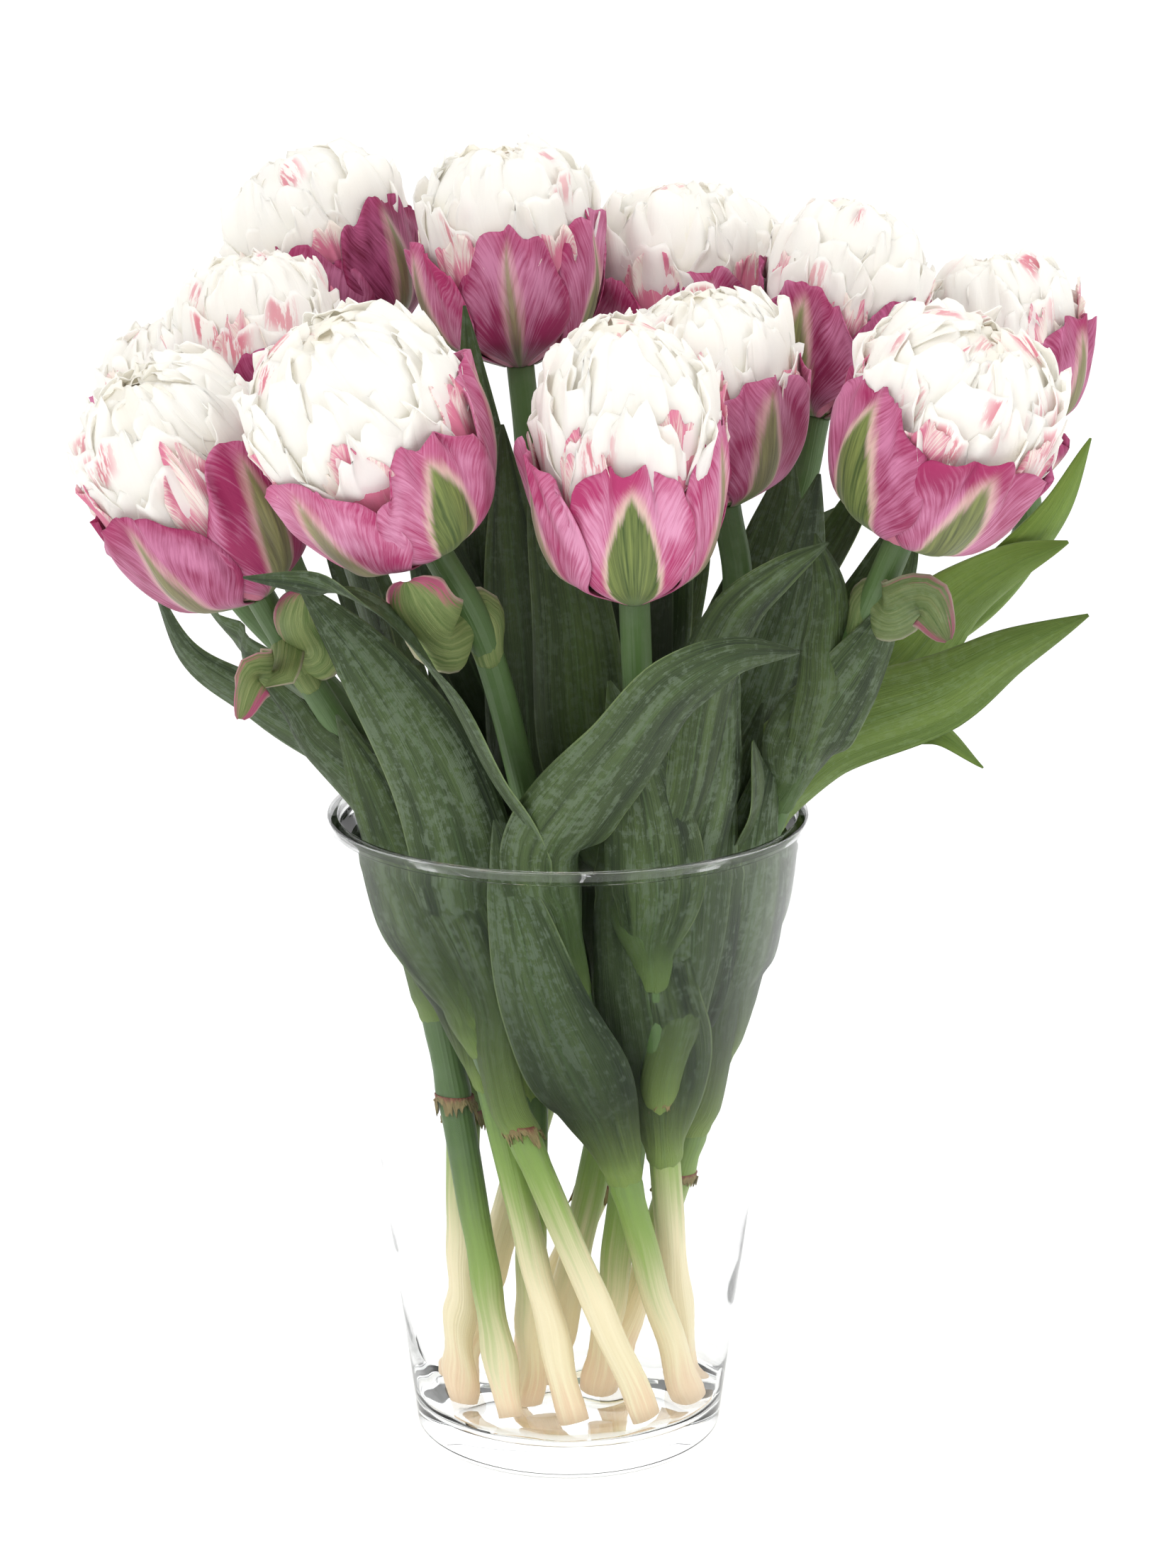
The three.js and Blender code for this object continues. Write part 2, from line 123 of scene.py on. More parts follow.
TULIPS["left_back"] = dict(
    foot=(-20, -25), rim=(-66, 36), bloom=(-140, 74, 360), lean=(-14, 12, 65), radius=33, spin=50,
    pale=66, dark=0.5, green=0.3, fleck=0.2, collar=139, leaves=[
        blade(165, 34, 170, (-59, 28, 225), (-70, 33, 252), (-106, 62, 286), (-136, 88, 300),
              (-152, 100, 322)),
        blade(205, 36, 125, (-59, 54, 255), (-76, 84, 300), (-92, 104, 345), (-98, 116, 380)),
    ])
TULIPS["back_left"] = dict(
    foot=(-37, -8), rim=(-36, 58), bloom=(-75, 90, 411), lean=(-35, 12, 72), radius=34, spin=30,
    pale=110, dark=0.85, green=0.6, fleck=0.25, collar=128, leaves=[
        blade(175, 40, 105, (-36, 68, 240), (-40, 84, 275), (-48, 108, 325), (-60, 126, 372)),
        blade(140, 40, 92, (-20, 60, 205), (-14, 76, 248), (-4, 100, 295), (2, 118, 345)),
    ], crowd=[
        blade(150, 46, 262, (-34, 22, 195), (-38, 10, 230), (-42, 4, 262), (-50, 2, 310)),
    ])
TULIPS["back_middle"] = dict(
    foot=(-13, -8), rim=(-12, 30), bloom=(-18, 50, 411), lean=(-8, 4, 86), radius=34, spin=-18,
    pale=84, dark=0.4, green=0.5, fleck=0.3, flame={4: 0.12}, leaves=[
        blade(232, 34, 90, (-4, 40, 285), (6, 52, 340), (10, 60, 392)),
        blade(255, 36, 268, (-22, 18, 315), (-30, 8, 372), (-38, 4, 441)),
        blade(200, 40, 265, (-20, 16, 262), (-38, 6, 310), (-50, 0, 352), (-56, -2, 388)),
    ], crowd=[
        blade(135, 48, 266, (-12, -16, 180), (-16, -34, 218), (-18, -42, 255), (-22, -44, 310)),
    ])
TULIPS["back_right"] = dict(
    foot=(-36, 20), rim=(20, 66), bloom=(42, 92, 393), lean=(0, 10, 82), radius=38, spin=0,
    pale=120, dark=0.4, green=0.3, fleck=0.25, leaves=[
        blade(165, 40, 80, (20, 76, 235), (30, 88, 272), (46, 112, 320), (56, 128, 362)),
        blade(195, 36, 50, (42, 68, 250), (62, 86, 290), (88, 102, 325), (108, 108, 345)),
        blade(190, 38, 268, (26, 52, 275), (33, 48, 320), (35, 46, 360), (33, 45, 390)),
    ], crowd=[
        blade(140, 48, 268, (4, 34, 190), (6, 20, 230), (8, 14, 265), (10, 12, 320)),
    ])
TULIPS["right_middle"] = dict(
    foot=(-8, 16), rim=(40, 14), bloom=(94, 36, 394), lean=(18, 6, 81), radius=31, spin=25, pale=96,
    dark=0.9, green=0.7, fleck=0.35, collar=166, leaves=[
        blade(200, 34, 40, (58, 32, 262), (82, 48, 305), (106, 58, 345), (124, 60, 382)),
        blade(215, 38, 272, (54, 4, 285), (68, 0, 325), (78, -2, 360), (83, -2, 388)),
    ], crowd=[
        blade(142, 46, 292, (34, -6, 185), (48, -28, 222), (60, -36, 255), (72, -36, 300)),
    ])
TULIPS["right_back"] = dict(
    foot=(-17, 38), rim=(72, 22), bloom=(172, 68, 379), bend=[(124, 40, 284), (159, 57, 320)],
    lean=(-10, 8, 72), radius=31, spin=40, pale=100, dark=0.45, green=0.3, fleck=0.4, collar=96,
    leaves=[
        blade(195, 44, 295, (61, 4, 240), (90, -2, 279), (124, -8, 306), (145, -13, 333),
              (164, -18, 348), (184, -24, 358), lit=0.9),
        blade(234, 32, 300, (103, 12, 290), (140, -2, 322), (165, -12, 346), (180, -20, 369),
              (191, -26, 397), lit=1),
        blade(180, 24, 320, (66, 16, 240), (90, 12, 268), (116, 4, 279), (138, -3, 281),
              (156, -8, 268), lit=0.8),
        blade(259, 36, 265, (97, 24, 291), (112, 26, 316), (124, 28, 342), (130, 32, 362)),
    ], crowd=[
        blade(138, 44, 300, (44, 10, 180), (62, -6, 220), (72, -12, 255), (86, -14, 300)),
    ])
TULIPS["right_front"] = dict(
    foot=(14, 38), rim=(75, -24), bloom=(119, -75, 370), lean=(30, -22, 81), radius=37, spin=2,
    pale=88, dark=0.7, green=0.75, fleck=0.7, flame={3: 1.1, 4: 0.8}, tall={3: 0.1}, collar=104,
    leaves=[
        blade(200, 42, 284, (59, -23, 240), (92, -25, 281), (138, -28, 301), (163, -36, 319),
              (190, -44, 335), lit=0.6),
        blade(330, 26, 280, (116, -78, 344), (127, -92, 350), (135, -98, 338), pink=0.6),
        blade(265, 24, 290, (92, -60, 316), (94, -76, 350), (88, -86, 374)),
        blade(120, 34, 330, (52, -8, 170), (61, -19, 215), (68, -34, 248), (71, -54, 272),
              (67, -76, 296)),
        blade(258, 38, 285, (86, -44, 284), (97, -57, 306), (109, -68, 330), (117, -74, 350)),
    ], crowd=[
        blade(150, 40, 296, (58, -20, 190), (66, -34, 222), (70, -40, 255), (78, -44, 295)),
    ])
TULIPS["front_middle"] = dict(
    foot=(38, 20), rim=(28, -66), bloom=(24, -98, 353), lean=(-4, -18, 103), radius=33, spin=-18,
    pale=118, dark=0.3, green=0.35, fleck=0.15, flame={4: 1.25}, collar=148, leaves=[
        blade(195, 42, 265, (13, -55, 258), (6, -62, 294), (2, -68, 339), (-5, -72, 381),
              (-9, -72, 422)),
        blade(215, 28, 290, (42, -80, 272), (50, -96, 322), (61, -106, 350), (76, -106, 364),
              (92, -101, 374)),
        blade(140, 38, 298, (43, -45, 196), (46, -61, 246), (53, -72, 280), (56, -80, 312),
              (58, -82, 342)),
    ], crowd=[
        blade(118, 46, 272, (32, -30, 160), (27, -46, 200), (22, -54, 240), (19, -58, 290)),
        blade(198, 42, 268, (32, -67, 236), (30, -79, 264), (24, -90, 294), (15, -98, 324)),
    ])
TULIPS["front_left"] = dict(
    foot=(41, -4), rim=(-10, -60), bloom=(-46, -95, 370), lean=(-41, -25, 84), radius=38, spin=10,
    pale=84, dark=0.2, green=0.25, fleck=0.12, flame={4: 1.0}, leaves=[
        blade(190, 44, 290, (-2, -66, 228), (-7, -80, 251), (3, -93, 272), (20, -109, 299),
              (38, -124, 326), (57, -126, 338), (82, -107, 336)),
        blade(326, 30, 262, (-42, -104, 340), (-51, -122, 354), (-55, -130, 366), pink=1),
        blade(205, 26, 200, (-12, -78, 258), (-27, -92, 286), (-45, -110, 326), (-66, -130, 356),
              (-86, -136, 366), (-112, -122, 366)),
        blade(210, 38, 262, (-12, -44, 268), (-16, -48, 320), (-20, -54, 364), (-23, -58, 408)),
        blade(112, 44, 255, (6, -50, 153), (-9, -63, 193), (-18, -73, 230), (-26, -82, 268)),
    ])
TULIPS["middle"] = dict(
    foot=(10, 10), rim=(38, -18), bloom=(58, -32, 374), lean=(-10, -4, 82), radius=32, spin=15,
    pale=80, dark=0.35, green=0.6, fleck=0.12, collar=140, leaves=[
        blade(185, 46, 290, (48, -12, 240), (64, -22, 280), (76, -30, 318), (85, -40, 355),
              (91, -48, 388)),
        blade(240, 30, 230, (28, -18, 300), (30, -8, 350), (34, -4, 398)),
        blade(205, 40, 268, (22, -16, 275), (8, -20, 320), (0, -22, 362), (-3, -22, 396)),
    ], crowd=[
        blade(128, 46, 284, (34, -28, 175), (44, -44, 215), (52, -50, 252), (58, -52, 300)),
    ])


# -------- curves and surfaces


def smooth(low, high, x):
    """0 below low, 1 above high, and an S-shaped cubic between them."""
    t = np.clip((x - low) / (high - low), 0, 1)
    return t * t * (3 - 2 * t)


def lerp(a, b, t):
    """a at t = 0, b at t = 1, and in proportion between them."""
    return a + (b - a) * t


def unit(vectors):
    return vectors / np.maximum(np.linalg.norm(vectors, axis=-1, keepdims=True), 1e-9)


def spline(points, t):
    """The smooth curve through points. t gives each span an equal share, and a span is the cubic
    whose end slopes come from the square roots of the distances to the neighbouring points."""
    p = np.asarray(points, float)
    p = np.vstack([2 * p[0] - p[1], p, 2 * p[-1] - p[-2]])
    spans = len(p) - 3
    place = np.clip(t, 0, 1) * spans
    k = np.minimum(place.astype(int), spans - 1)
    w = (place - k)[:, None]
    a, b, c, d = (p[k + i] for i in range(4))
    e, f, g = (np.sqrt(np.linalg.norm(y - x, axis=1))[:, None] for x, y in
               ((a, b), (b, c), (c, d)))
    leave = ((b - a) / e - (c - a) / (e + f) + (c - b) / f) * f
    arrive = ((c - b) / f - (d - b) / (f + g) + (d - c) / g) * f
    return ((2 * w**3 - 3 * w**2 + 1) * b + (w**3 - 2 * w**2 + w) * leave
            + (3 * w**2 - 2 * w**3) * c + (w**3 - w**2) * arrive)


def ripple(rng, x, y, pace, terms=4):
    """A gentle random swell, about -1 to 1: a mean of sine waves whose directions and phases are
    drawn, over the numbers x and y, with about pace waves over one unit of x."""
    total = 0
    for _ in range(terms):
        turn, phase = rng.uniform(-0.8, 0.8), rng.uniform(0, 2 * math.pi)
        speed = pace * rng.uniform(0.6, 1.4) * 2 * math.pi
        total = total + np.sin(speed * (x * math.cos(turn) + y * math.sin(turn)) + phase)
    return total / math.sqrt(terms)


def grid(rows, columns):
    """u down the rows from 0 to 1, and v along the columns from -1 to 1."""
    return np.meshgrid(np.linspace(0, 1, rows), np.linspace(-1, 1, columns), indexing="ij")


def faces_of(rows, columns, closed=False):
    """Corner numbers of a grid's faces, and each corner's place across and along the grid."""
    i, j = np.meshgrid(np.arange(rows - 1), np.arange(columns if closed else columns - 1),
                       indexing="ij")
    i = i.reshape(-1, 1) + np.array([0, 1, 1, 0])
    j = j.reshape(-1, 1) + np.array([0, 0, 1, 1])
    place = np.stack([j / (columns if closed else columns - 1), i / (rows - 1)], -1)
    return i * columns + j % columns, place


def shell(points, thick):
    """A closed sheet about a grid of points: each side stands half the thickness off along the
    surface's normal, and a rim of faces joins the two sides."""
    rows, columns = points.shape[:2]
    normal = unit(np.cross(np.gradient(points, axis=0), np.gradient(points, axis=1)))
    offset = normal * (np.broadcast_to(thick, points.shape[:2])[..., None] / 2)
    count = rows * columns
    both = np.concatenate([(points + offset).reshape(-1, 3), (points - offset).reshape(-1, 3)])
    front, place = faces_of(rows, columns)
    k = np.arange(count).reshape(rows, columns)
    ring = np.concatenate([k[:-1, 0], k[-1, :-1], k[:0:-1, -1], k[0, :0:-1]])
    after = np.roll(ring, -1)
    rim = np.stack([after, ring, ring + count, after + count], -1)
    where = np.stack([(rim % count) % columns / (columns - 1),
                      (rim % count) // columns / (rows - 1)], -1)
    return dict(points=both, faces=[front, front[:, ::-1] + count, rim],
                place=[place, place[:, ::-1], where])


def capped(points, low, high):
    """A closed body from a grid of points whose columns run clockwise round it, seen from its far
    end. The first row is closed to the point low and the last to the point high."""
    rows, columns = points.shape[:2]
    count = rows * columns
    faces, place = faces_of(rows, columns, closed=True)
    j = np.arange(columns)
    after, last = (j + 1) % columns, (rows - 1) * columns
    bottom = np.stack([j, after, np.full(columns, count)], -1)
    top = np.stack([last + after, last + j, np.full(columns, count + 1)], -1)
    share = np.stack([j, j + 1, j + 0.5], -1) / columns
    back = np.stack([j + 1, j, j + 0.5], -1) / columns
    return dict(points=np.vstack([points.reshape(-1, 3), low, high]),
                faces=[faces, bottom, top],
                place=[place, np.stack([share, np.zeros_like(share)], -1),
                       np.stack([back, np.ones_like(back)], -1)])


def clockwise(columns):
    """The angle of each column round a body."""
    return -2 * math.pi * np.arange(columns) / columns


def tube(centre, radius):
    """A round bar along the points centre, from a grid of radii with a row for each point."""
    along = unit(np.gradient(centre, axis=0))
    side = unit(np.cross(along, [1.0, 0, 0]))
    other = np.cross(along, side)
    turn = clockwise(radius.shape[1])[None, :, None]
    round_it = side[:, None] * np.cos(turn) + other[:, None] * np.sin(turn)
    points = centre[:, None] + radius[..., None] * round_it
    return capped(points, points[0].mean(0), points[-1].mean(0))


def turned(profile, columns, swell=None):
    """The body swept by a profile of (radius, height) points about the upright axis. swell, of the
    angle, height and radius, is added to the radius."""
    profile = np.asarray(profile, float)
    (_, low), (_, high) = profile[0], profile[-1]
    radius, height = profile[1:-1, :1], profile[1:-1, 1:]
    turn = clockwise(columns)[None]
    if swell is not None:
        radius = radius + swell(turn, height, radius)
    points = np.stack([radius * np.cos(turn), radius * np.sin(turn), height + 0 * turn], -1)
    return capped(points, [0, 0, low], [0, 0, high])


def put(name, data):
    """An object of the name and data, in the scene."""
    thing = bpy.data.objects.new(name, data)
    bpy.context.scene.collection.objects.link(thing)
    return thing


class Piece:
    """Closed surfaces gathered into one mesh, with a UV map and three numbers at each point: tone,
    drawn for each petal or leaf, and depth and shade, which each material's text explains."""

    def __init__(self, name):
        self.name, self.count = name, 0
        self.points, self.faces, self.place, self.slots = [], [], [], []
        self.values = dict(tone=[], depth=[], shade=[])

    def add(self, body, slot=0, **values):
        for faces, place in zip(body["faces"], body["place"]):
            self.faces.append(faces + self.count)
            self.place.append(place)
            self.slots.append(np.full(len(faces), slot))
        count = len(body["points"])
        for key, kept in self.values.items():
            kept.append(np.broadcast_to(values.get(key, 0.0), count))
        self.points.append(body["points"])
        self.count += count

    def build(self, materials, slot, *nodes):
        """Makes the mesh, gives it its materials, and sets it in the place of the CAD nodes."""
        mesh = bpy.data.meshes.new(self.name)
        points = np.concatenate(self.points) * MM
        corners = np.concatenate([f.ravel() for f in self.faces])
        sizes = np.concatenate([np.full(len(f), f.shape[1]) for f in self.faces])
        mesh.vertices.add(len(points))
        mesh.vertices.foreach_set("co", points.ravel().astype(np.float32))
        mesh.loops.add(len(corners))
        mesh.loops.foreach_set("vertex_index", corners.astype(np.int32))
        mesh.polygons.add(len(sizes))
        starts = np.concatenate([[0], np.cumsum(sizes)[:-1]]).astype(np.int32)
        mesh.polygons.foreach_set("loop_start", starts)
        mesh.polygons.foreach_set("material_index", np.concatenate(self.slots).astype(np.int32))
        mesh.update(calc_edges=True)
        layer = mesh.uv_layers.new(name="UVMap")
        place = np.concatenate([p.reshape(-1, 2) for p in self.place])
        layer.data.foreach_set("uv", place.ravel().astype(np.float32))
        for key, kept in self.values.items():
            attribute = mesh.attributes.new(key, "FLOAT", "POINT")
            attribute.data.foreach_set("value", np.concatenate(kept).astype(np.float32))
        mesh.shade_smooth()
        thing = put(self.name, mesh)
        for material in materials:
            mesh.materials.append(material)
        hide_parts(*nodes)
        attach(thing, "root")


# -------- materials


def sums(operation, swapped=False):
    """A method of Value that adds a Math node."""
    def method(self, *other):
        numbers = (*other, self) if swapped else (self, *other)
        return self.finish.node("Math", dict(enumerate(numbers)), operation=operation)
    return method


class Value:
    """A number that changes over a surface. Sums on it add Math nodes."""

    def __init__(self, finish, socket):
        self.finish, self.socket = finish, socket

    __add__ = __radd__ = sums("ADD")
    __mul__ = __rmul__ = sums("MULTIPLY")
    __sub__, __rsub__ = sums("SUBTRACT"), sums("SUBTRACT", True)
    __pow__, __abs__ = sums("POWER"), sums("ABSOLUTE")
    least, most = sums("MINIMUM"), sums("MAXIMUM")

    def step(self, low, high):
        """0 at low, 1 at high and an S-shaped rise between them."""
        return self.finish.node("MapRange", {0: self, 1: low, 2: high, 3: 0.0, 4: 1.0},
                                interpolation_type="SMOOTHSTEP")


class Finish:
    """A material in the making, or the sky."""

    def __init__(self, name, kind="materials"):
        self.made = getattr(bpy.data, kind).new(name)
        self.made.use_nodes = True
        self.tree = self.made.node_tree
        self.tree.nodes.clear()

    def node(self, kind, inputs=None, output=0, **settings):
        """Adds a node, sets or links its inputs, and gives one of its outputs, if any."""
        node = self.tree.nodes.new("ShaderNode" + kind)
        for key, value in settings.items():
            setattr(node, key, value)
        for key, value in (inputs or {}).items():
            if isinstance(value, Value):
                self.tree.links.new(value.socket, node.inputs[key])
            elif node.inputs[key].type == "RGBA":
                node.inputs[key].default_value = (*value, 1)
            else:
                node.inputs[key].default_value = value
        return None if output is None else Value(self, node.outputs[output])

    def place(self):
        """Across, -1 to 1, and along, 0 to 1, from the piece's own UV map."""
        uv = self.node("UVMap", uv_map="UVMap")
        return self.part(uv, 0) * 2 - 1, self.part(uv, 1)

    def part(self, vector, k):
        """Number k of a vector's three."""
        return self.node("SeparateXYZ", {0: vector}, k)

    def point(self):
        """The point in the row's frame, in metres."""
        return self.node("TexCoord", None, 3)

    def height(self):
        return self.part(self.point(), 2)

    def value(self, name):
        return self.node("Attribute", None, 2, attribute_name=name)

    def noise(self, where, scale, detail, rough, twist=0.0):
        return self.node("TexNoise", {"Vector": where, "Scale": scale, "Detail": detail,
                                      "Roughness": rough, "Distortion": twist})

    def grain(self, x, y, z, detail=3.0, rough=0.6, twist=0.0):
        """Noise over three numbers, which say how fine it is each way."""
        where = self.node("CombineXYZ", {0: x, 1: y, 2: z})
        return self.noise(where, 1.0, detail, rough, twist)

    def mix(self, share, a, b):
        return self.node("Mix", {0: share, 6: a, 7: b}, 2, data_type="RGBA", clamp_factor=True)

    def bump(self, height, distance, strength):
        return self.node("Bump", {"Height": height, "Distance": distance, "Strength": strength})

    def surface(self, color, through=0.0, glow=None, **inputs):
        """The finished surface. through is the share of light that a thin petal or leaf lets
        through, in the colour glow."""
        names = {key.replace("_", " "): value for key, value in inputs.items()}
        shader = self.node("BsdfPrincipled", {"Base Color": color, **names})
        if through:
            normal = {"Normal": inputs["Normal"]} if "Normal" in inputs else {}
            back = self.node("BsdfTranslucent", {"Color": glow or color, **normal})
            shader = self.node("MixShader", {0: through, 1: shader, 2: back})
        return self.end(shader)

    def end(self, shader, output="OutputMaterial"):
        self.node(output, {0: shader}, None)
        return self.made


def guard_finish():
    """Outer petals: silky orchid magenta with fine feathered lines that leave the midrib slanting
    up, a flame of olive green up the middle with a cream edge, and a green foot. shade is the
    flame's spread, or below 0 for the pink-and-white petals inside, and depth is the darkness."""
    f = Finish("outer_petal_silk")
    across, along = f.place()
    tone, dark, flame = f.value("tone"), f.value("depth"), f.value("shade")
    side = abs(across)
    fan = (side - along**2 * 0.62) * 34
    lines = f.grain(fan, along * 3.2, across * 0.6 + tone * 9, 4.0, 0.62)
    strands = f.grain(across * 20, along * 1.8, tone * 7)
    cloud = f.grain(across * 1.6, along * 2.2, tone * 13, 2.0, 0.5)
    magenta = f.mix(dark, (0.53, 0.045, 0.18), (0.18, 0.010, 0.050))
    pale = f.mix(dark, (0.85, 0.41, 0.60), (0.50, 0.11, 0.26))
    petal = f.mix((lines - 0.44) * 2.4 + (cloud - 0.5) * 2.8 + 0.28, magenta, pale)
    rim = (along.step(0.75, 1.0) * 0.6).most(side.step(0.88, 1.0) * 0.5)
    petal = f.mix(rim * (1.2 - cloud * 1.4), petal, (0.48, 0.03, 0.15))
    width = (1 - along**0.7 * 1.12) * (0.08 + flame * 0.74) + \
        (strands - 0.5) * (0.26 - along * 0.16)
    edge = width - side
    tip = 1 - along.step(0.80, 0.98)
    cream = (0.80, 0.64, 0.50)
    petal = f.mix(edge.step(-0.16, -0.02) * tip * (0.3 + flame * 0.4), petal, cream)
    green = f.mix((strands - 0.34) * 2.6, (0.060, 0.100, 0.022), (0.26, 0.32, 0.085))
    petal = f.mix(edge.step(-0.05, 0.05) * tip * (0.6 + flame * 0.4), petal, green)
    foot = 1 - (along + side * 0.10 + (strands - 0.5) * 0.30).step(0.06, 0.20)
    petal = f.mix(foot * (0.4 + flame * 0.6), petal, (0.15, 0.23, 0.06))
    torn = (lines * 0.5 + cloud * 0.9 - 0.28 - along * 0.33).step(0.0, 0.22)
    inner = f.mix(torn, (0.93, 0.86, 0.78), (0.74, 0.22, 0.34))
    petal = f.mix(0 - flame, petal, inner)
    relief = f.bump(lines * 0.5 + strands * 0.5, 0.0005, 0.5)
    return f.surface(petal, 0.2, Roughness=0.45 + lines * 0.16, Normal=relief,
                     Specular_IOR_Level=0.35, Sheen_Weight=0.15, Sheen_Roughness=0.4)


def white_finish():
    """White petals: ivory white, with painted shade in darker cream on the inner layers and the
    heart, hair-fine veins that fan out, a green-yellow root, and raspberry flecks where shade is
    high."""
    f = Finish("white_petal_silk")
    across, along = f.place()
    tone, depth, fleck = f.value("tone"), f.value("depth"), f.value("shade")
    veins = f.grain(across * 26, along * 2.0, tone * 17)
    cloud = f.noise(f.point(), 60.0, 3.0, 0.55)
    white = f.mix((cloud - 0.40) * 1.4, (0.975, 0.968, 0.945), (0.96, 0.945, 0.895))
    # Painted shade: the inner layers and the heart, deep in the bloom's hollows, are tinted darker
    # cream.
    white = f.mix(depth.step(0.5, 1.1) * 0.6, white, (0.95, 0.90, 0.76))
    white = f.mix((1 - along.step(0.0, 0.55)) * 0.5, white, (0.95, 0.90, 0.72))
    feather = f.grain(across * 13, along * 3.0 - abs(across) * 2, tone * 31, 4.0, 0.7)
    flame = (feather - 0.46).step(0.0, 0.06) * fleck
    upper = along.step(0.62, 0.78) * (1 - along.step(0.92, 0.99)) * \
        (1 - abs(across - (tone - 0.5)).step(0.08, 0.34))
    white = f.mix((flame * upper).least(0.9), white, (0.72, 0.09, 0.20))
    relief = f.bump(veins * 0.5 + cloud * 0.6, 0.0006, 0.45)
    return f.surface(white, 0.42, (0.98, 0.965, 0.92), Roughness=0.55 + veins * 0.12,
                     Normal=relief, Specular_IOR_Level=0.3)


def leaf_finish():
    """Leaves: deep green under a blue-grey wax that is worn off in mottles and along the parallel
    veins, a thin pale edge here and there, and yellow-green where light comes through. Near the
    vase's axis and low down, in the middle of the crowd, they are darkened with painted shade.
    shade is how far the leaf is lit from behind, depth how pink its tip is."""
    f = Finish("leaf_wax")
    across, along = f.place()
    tone, pink, lit = f.value("tone"), f.value("depth"), f.value("shade")
    side = abs(across)
    veins = f.grain(across * 40, along * 1.8, tone * 21, 4.0, 0.65)
    broad = f.grain(across * 2.2, along * 2.4, tone * 5, 3.0, 0.5)
    wax = f.grain(across * 7, along * 9, tone * 33, 5.0, 0.68, 0.8)
    fine = f.noise(f.point(), 300.0, 4.0, 0.65)
    deep = f.mix(tone, (0.008, 0.018, 0.005), (0.011, 0.023, 0.009))
    green = f.mix(tone, (0.088, 0.142, 0.032), (0.088, 0.140, 0.048))
    leaf = f.mix((veins - 0.44) * 1.9 + (broad - 0.5) * 2.2 + 0.42, deep, green)
    mottle = (wax + (fine - 0.5) * 0.9 + (broad - 0.5) * 0.4 - 0.49).step(0.0, 0.14)
    leaf = f.mix(mottle * (0.35 + tone * 0.4), leaf, (0.150, 0.205, 0.125))
    leaf = f.mix((0.40 - veins).step(0.0, 0.10) * 0.5, leaf, (0.020, 0.050, 0.012))
    sun = f.mix(veins + (broad - 0.5) * 0.8, (0.12, 0.25, 0.022), (0.33, 0.46, 0.075))
    leaf = f.mix(lit * (0.55 + along * 0.4), leaf, sun)
    # Painted shade: leaves near the vase's axis and below 0.42 m are darkened, as if shaded by the
    # crowd round them.
    x, y = (f.part(f.point(), k) for k in (0, 1))
    middle = (1 - ((x * x + y * y) ** 0.5).step(0.030, 0.080)) * (1 - f.height().step(0.30, 0.42))
    leaf = f.mix(middle * 0.85, leaf, (0.008, 0.017, 0.005))
    root = 1 - (along + (veins - 0.5) * 0.25).step(0.05, 0.38)
    sheath = f.mix(f.height().step(0.12, 0.24), (0.24, 0.34, 0.080), (0.080, 0.145, 0.038))
    leaf = f.mix(root * 0.9, leaf, sheath)
    rib = (1 - side.step(0.0, 0.05)) * 0.25
    leaf = f.mix(rib, leaf, (0.11, 0.20, 0.07))
    edge = side.step(0.955, 0.985) * (broad - 0.42).step(0.0, 0.2)
    leaf = f.mix(edge * 0.6, leaf, (0.26, 0.35, 0.14))
    streak = f.grain(across * 11, along * 2.0, tone * 40, 3.0, 0.7)
    bract = f.mix((streak - 0.3) * 2, (0.11, 0.19, 0.045), (0.40, 0.46, 0.18))
    curl = (along * 0.7 + side * 0.45 + (streak - 0.5) * 0.9).step(0.80, 0.98)
    bract = f.mix(curl * 0.9, bract, (0.58, 0.085, 0.23))
    bract = f.mix(side.step(0.86, 0.98) * 0.6, bract, (0.76, 0.66, 0.50))
    leaf = f.mix(pink, leaf, bract)
    relief = f.bump(veins * 0.6 + broad * 0.4 + wax * 0.6, 0.0014, 0.8)
    return f.surface(leaf, 0.14, (0.26, 0.42, 0.04), Roughness=0.40 + wax * 0.3, Normal=relief,
                     Specular_IOR_Level=0.42)


def stem_finish():
    """Stems: glaucous green above, through yellow-green to ivory in the water, with a tan foot and
    fine ribs. shade is the height in metres at which the stem turns pale."""
    f = Finish("stem_skin")
    across, along = f.place()
    tone, pale = f.value("tone"), f.value("shade")
    streak = f.grain(across * 9, along * 7, tone * 15)
    ribs = f.grain(across * 16, along * 1.5, tone * 25, 2.0, 0.5)
    wax = f.noise(f.point(), 90.0, 4.0, 0.6)
    height = f.height() + (streak - 0.5) * 0.055
    green = f.mix(tone, (0.058, 0.115, 0.026), (0.074, 0.138, 0.040))
    green = f.mix((wax - 0.45).step(0.0, 0.25) * 0.3, green, (0.12, 0.180, 0.090))
    lime = f.mix(streak, (0.12, 0.23, 0.035), (0.30, 0.40, 0.10))
    ivory = f.mix(streak, (0.70, 0.59, 0.35), (0.86, 0.78, 0.56))
    stem = f.mix((height - pale).step(0.0, 0.060), lime, green)
    stem = f.mix((height - pale).step(-0.045, 0.012), ivory, stem)
    stem = f.mix((1 - height.step(0.018, 0.040)) * 0.55, stem, (0.72, 0.46, 0.31))
    relief = f.bump(ribs * 0.7 + streak * 0.4, 0.0009, 0.6)
    return f.surface(stem, Roughness=0.38 + wax * 0.2, Normal=relief, Specular_IOR_Level=0.45)


def collar_finish():
    """The ragged fibres of an old leaf's root: purple-brown with green-tan streaks."""
    f = Finish("old_leaf_collar")
    across, along = f.place()
    streak = f.grain(across * 30, along * 2, f.value("tone") * 9)
    brown = f.mix((streak - 0.3) * 2, (0.10, 0.022, 0.016), (0.34, 0.13, 0.075))
    brown = f.mix(along.step(0.0, 0.5) * 0.5, brown, (0.30, 0.32, 0.12))
    return f.surface(brown, Roughness=0.75, Normal=f.bump(streak, 0.0008, 0.8))


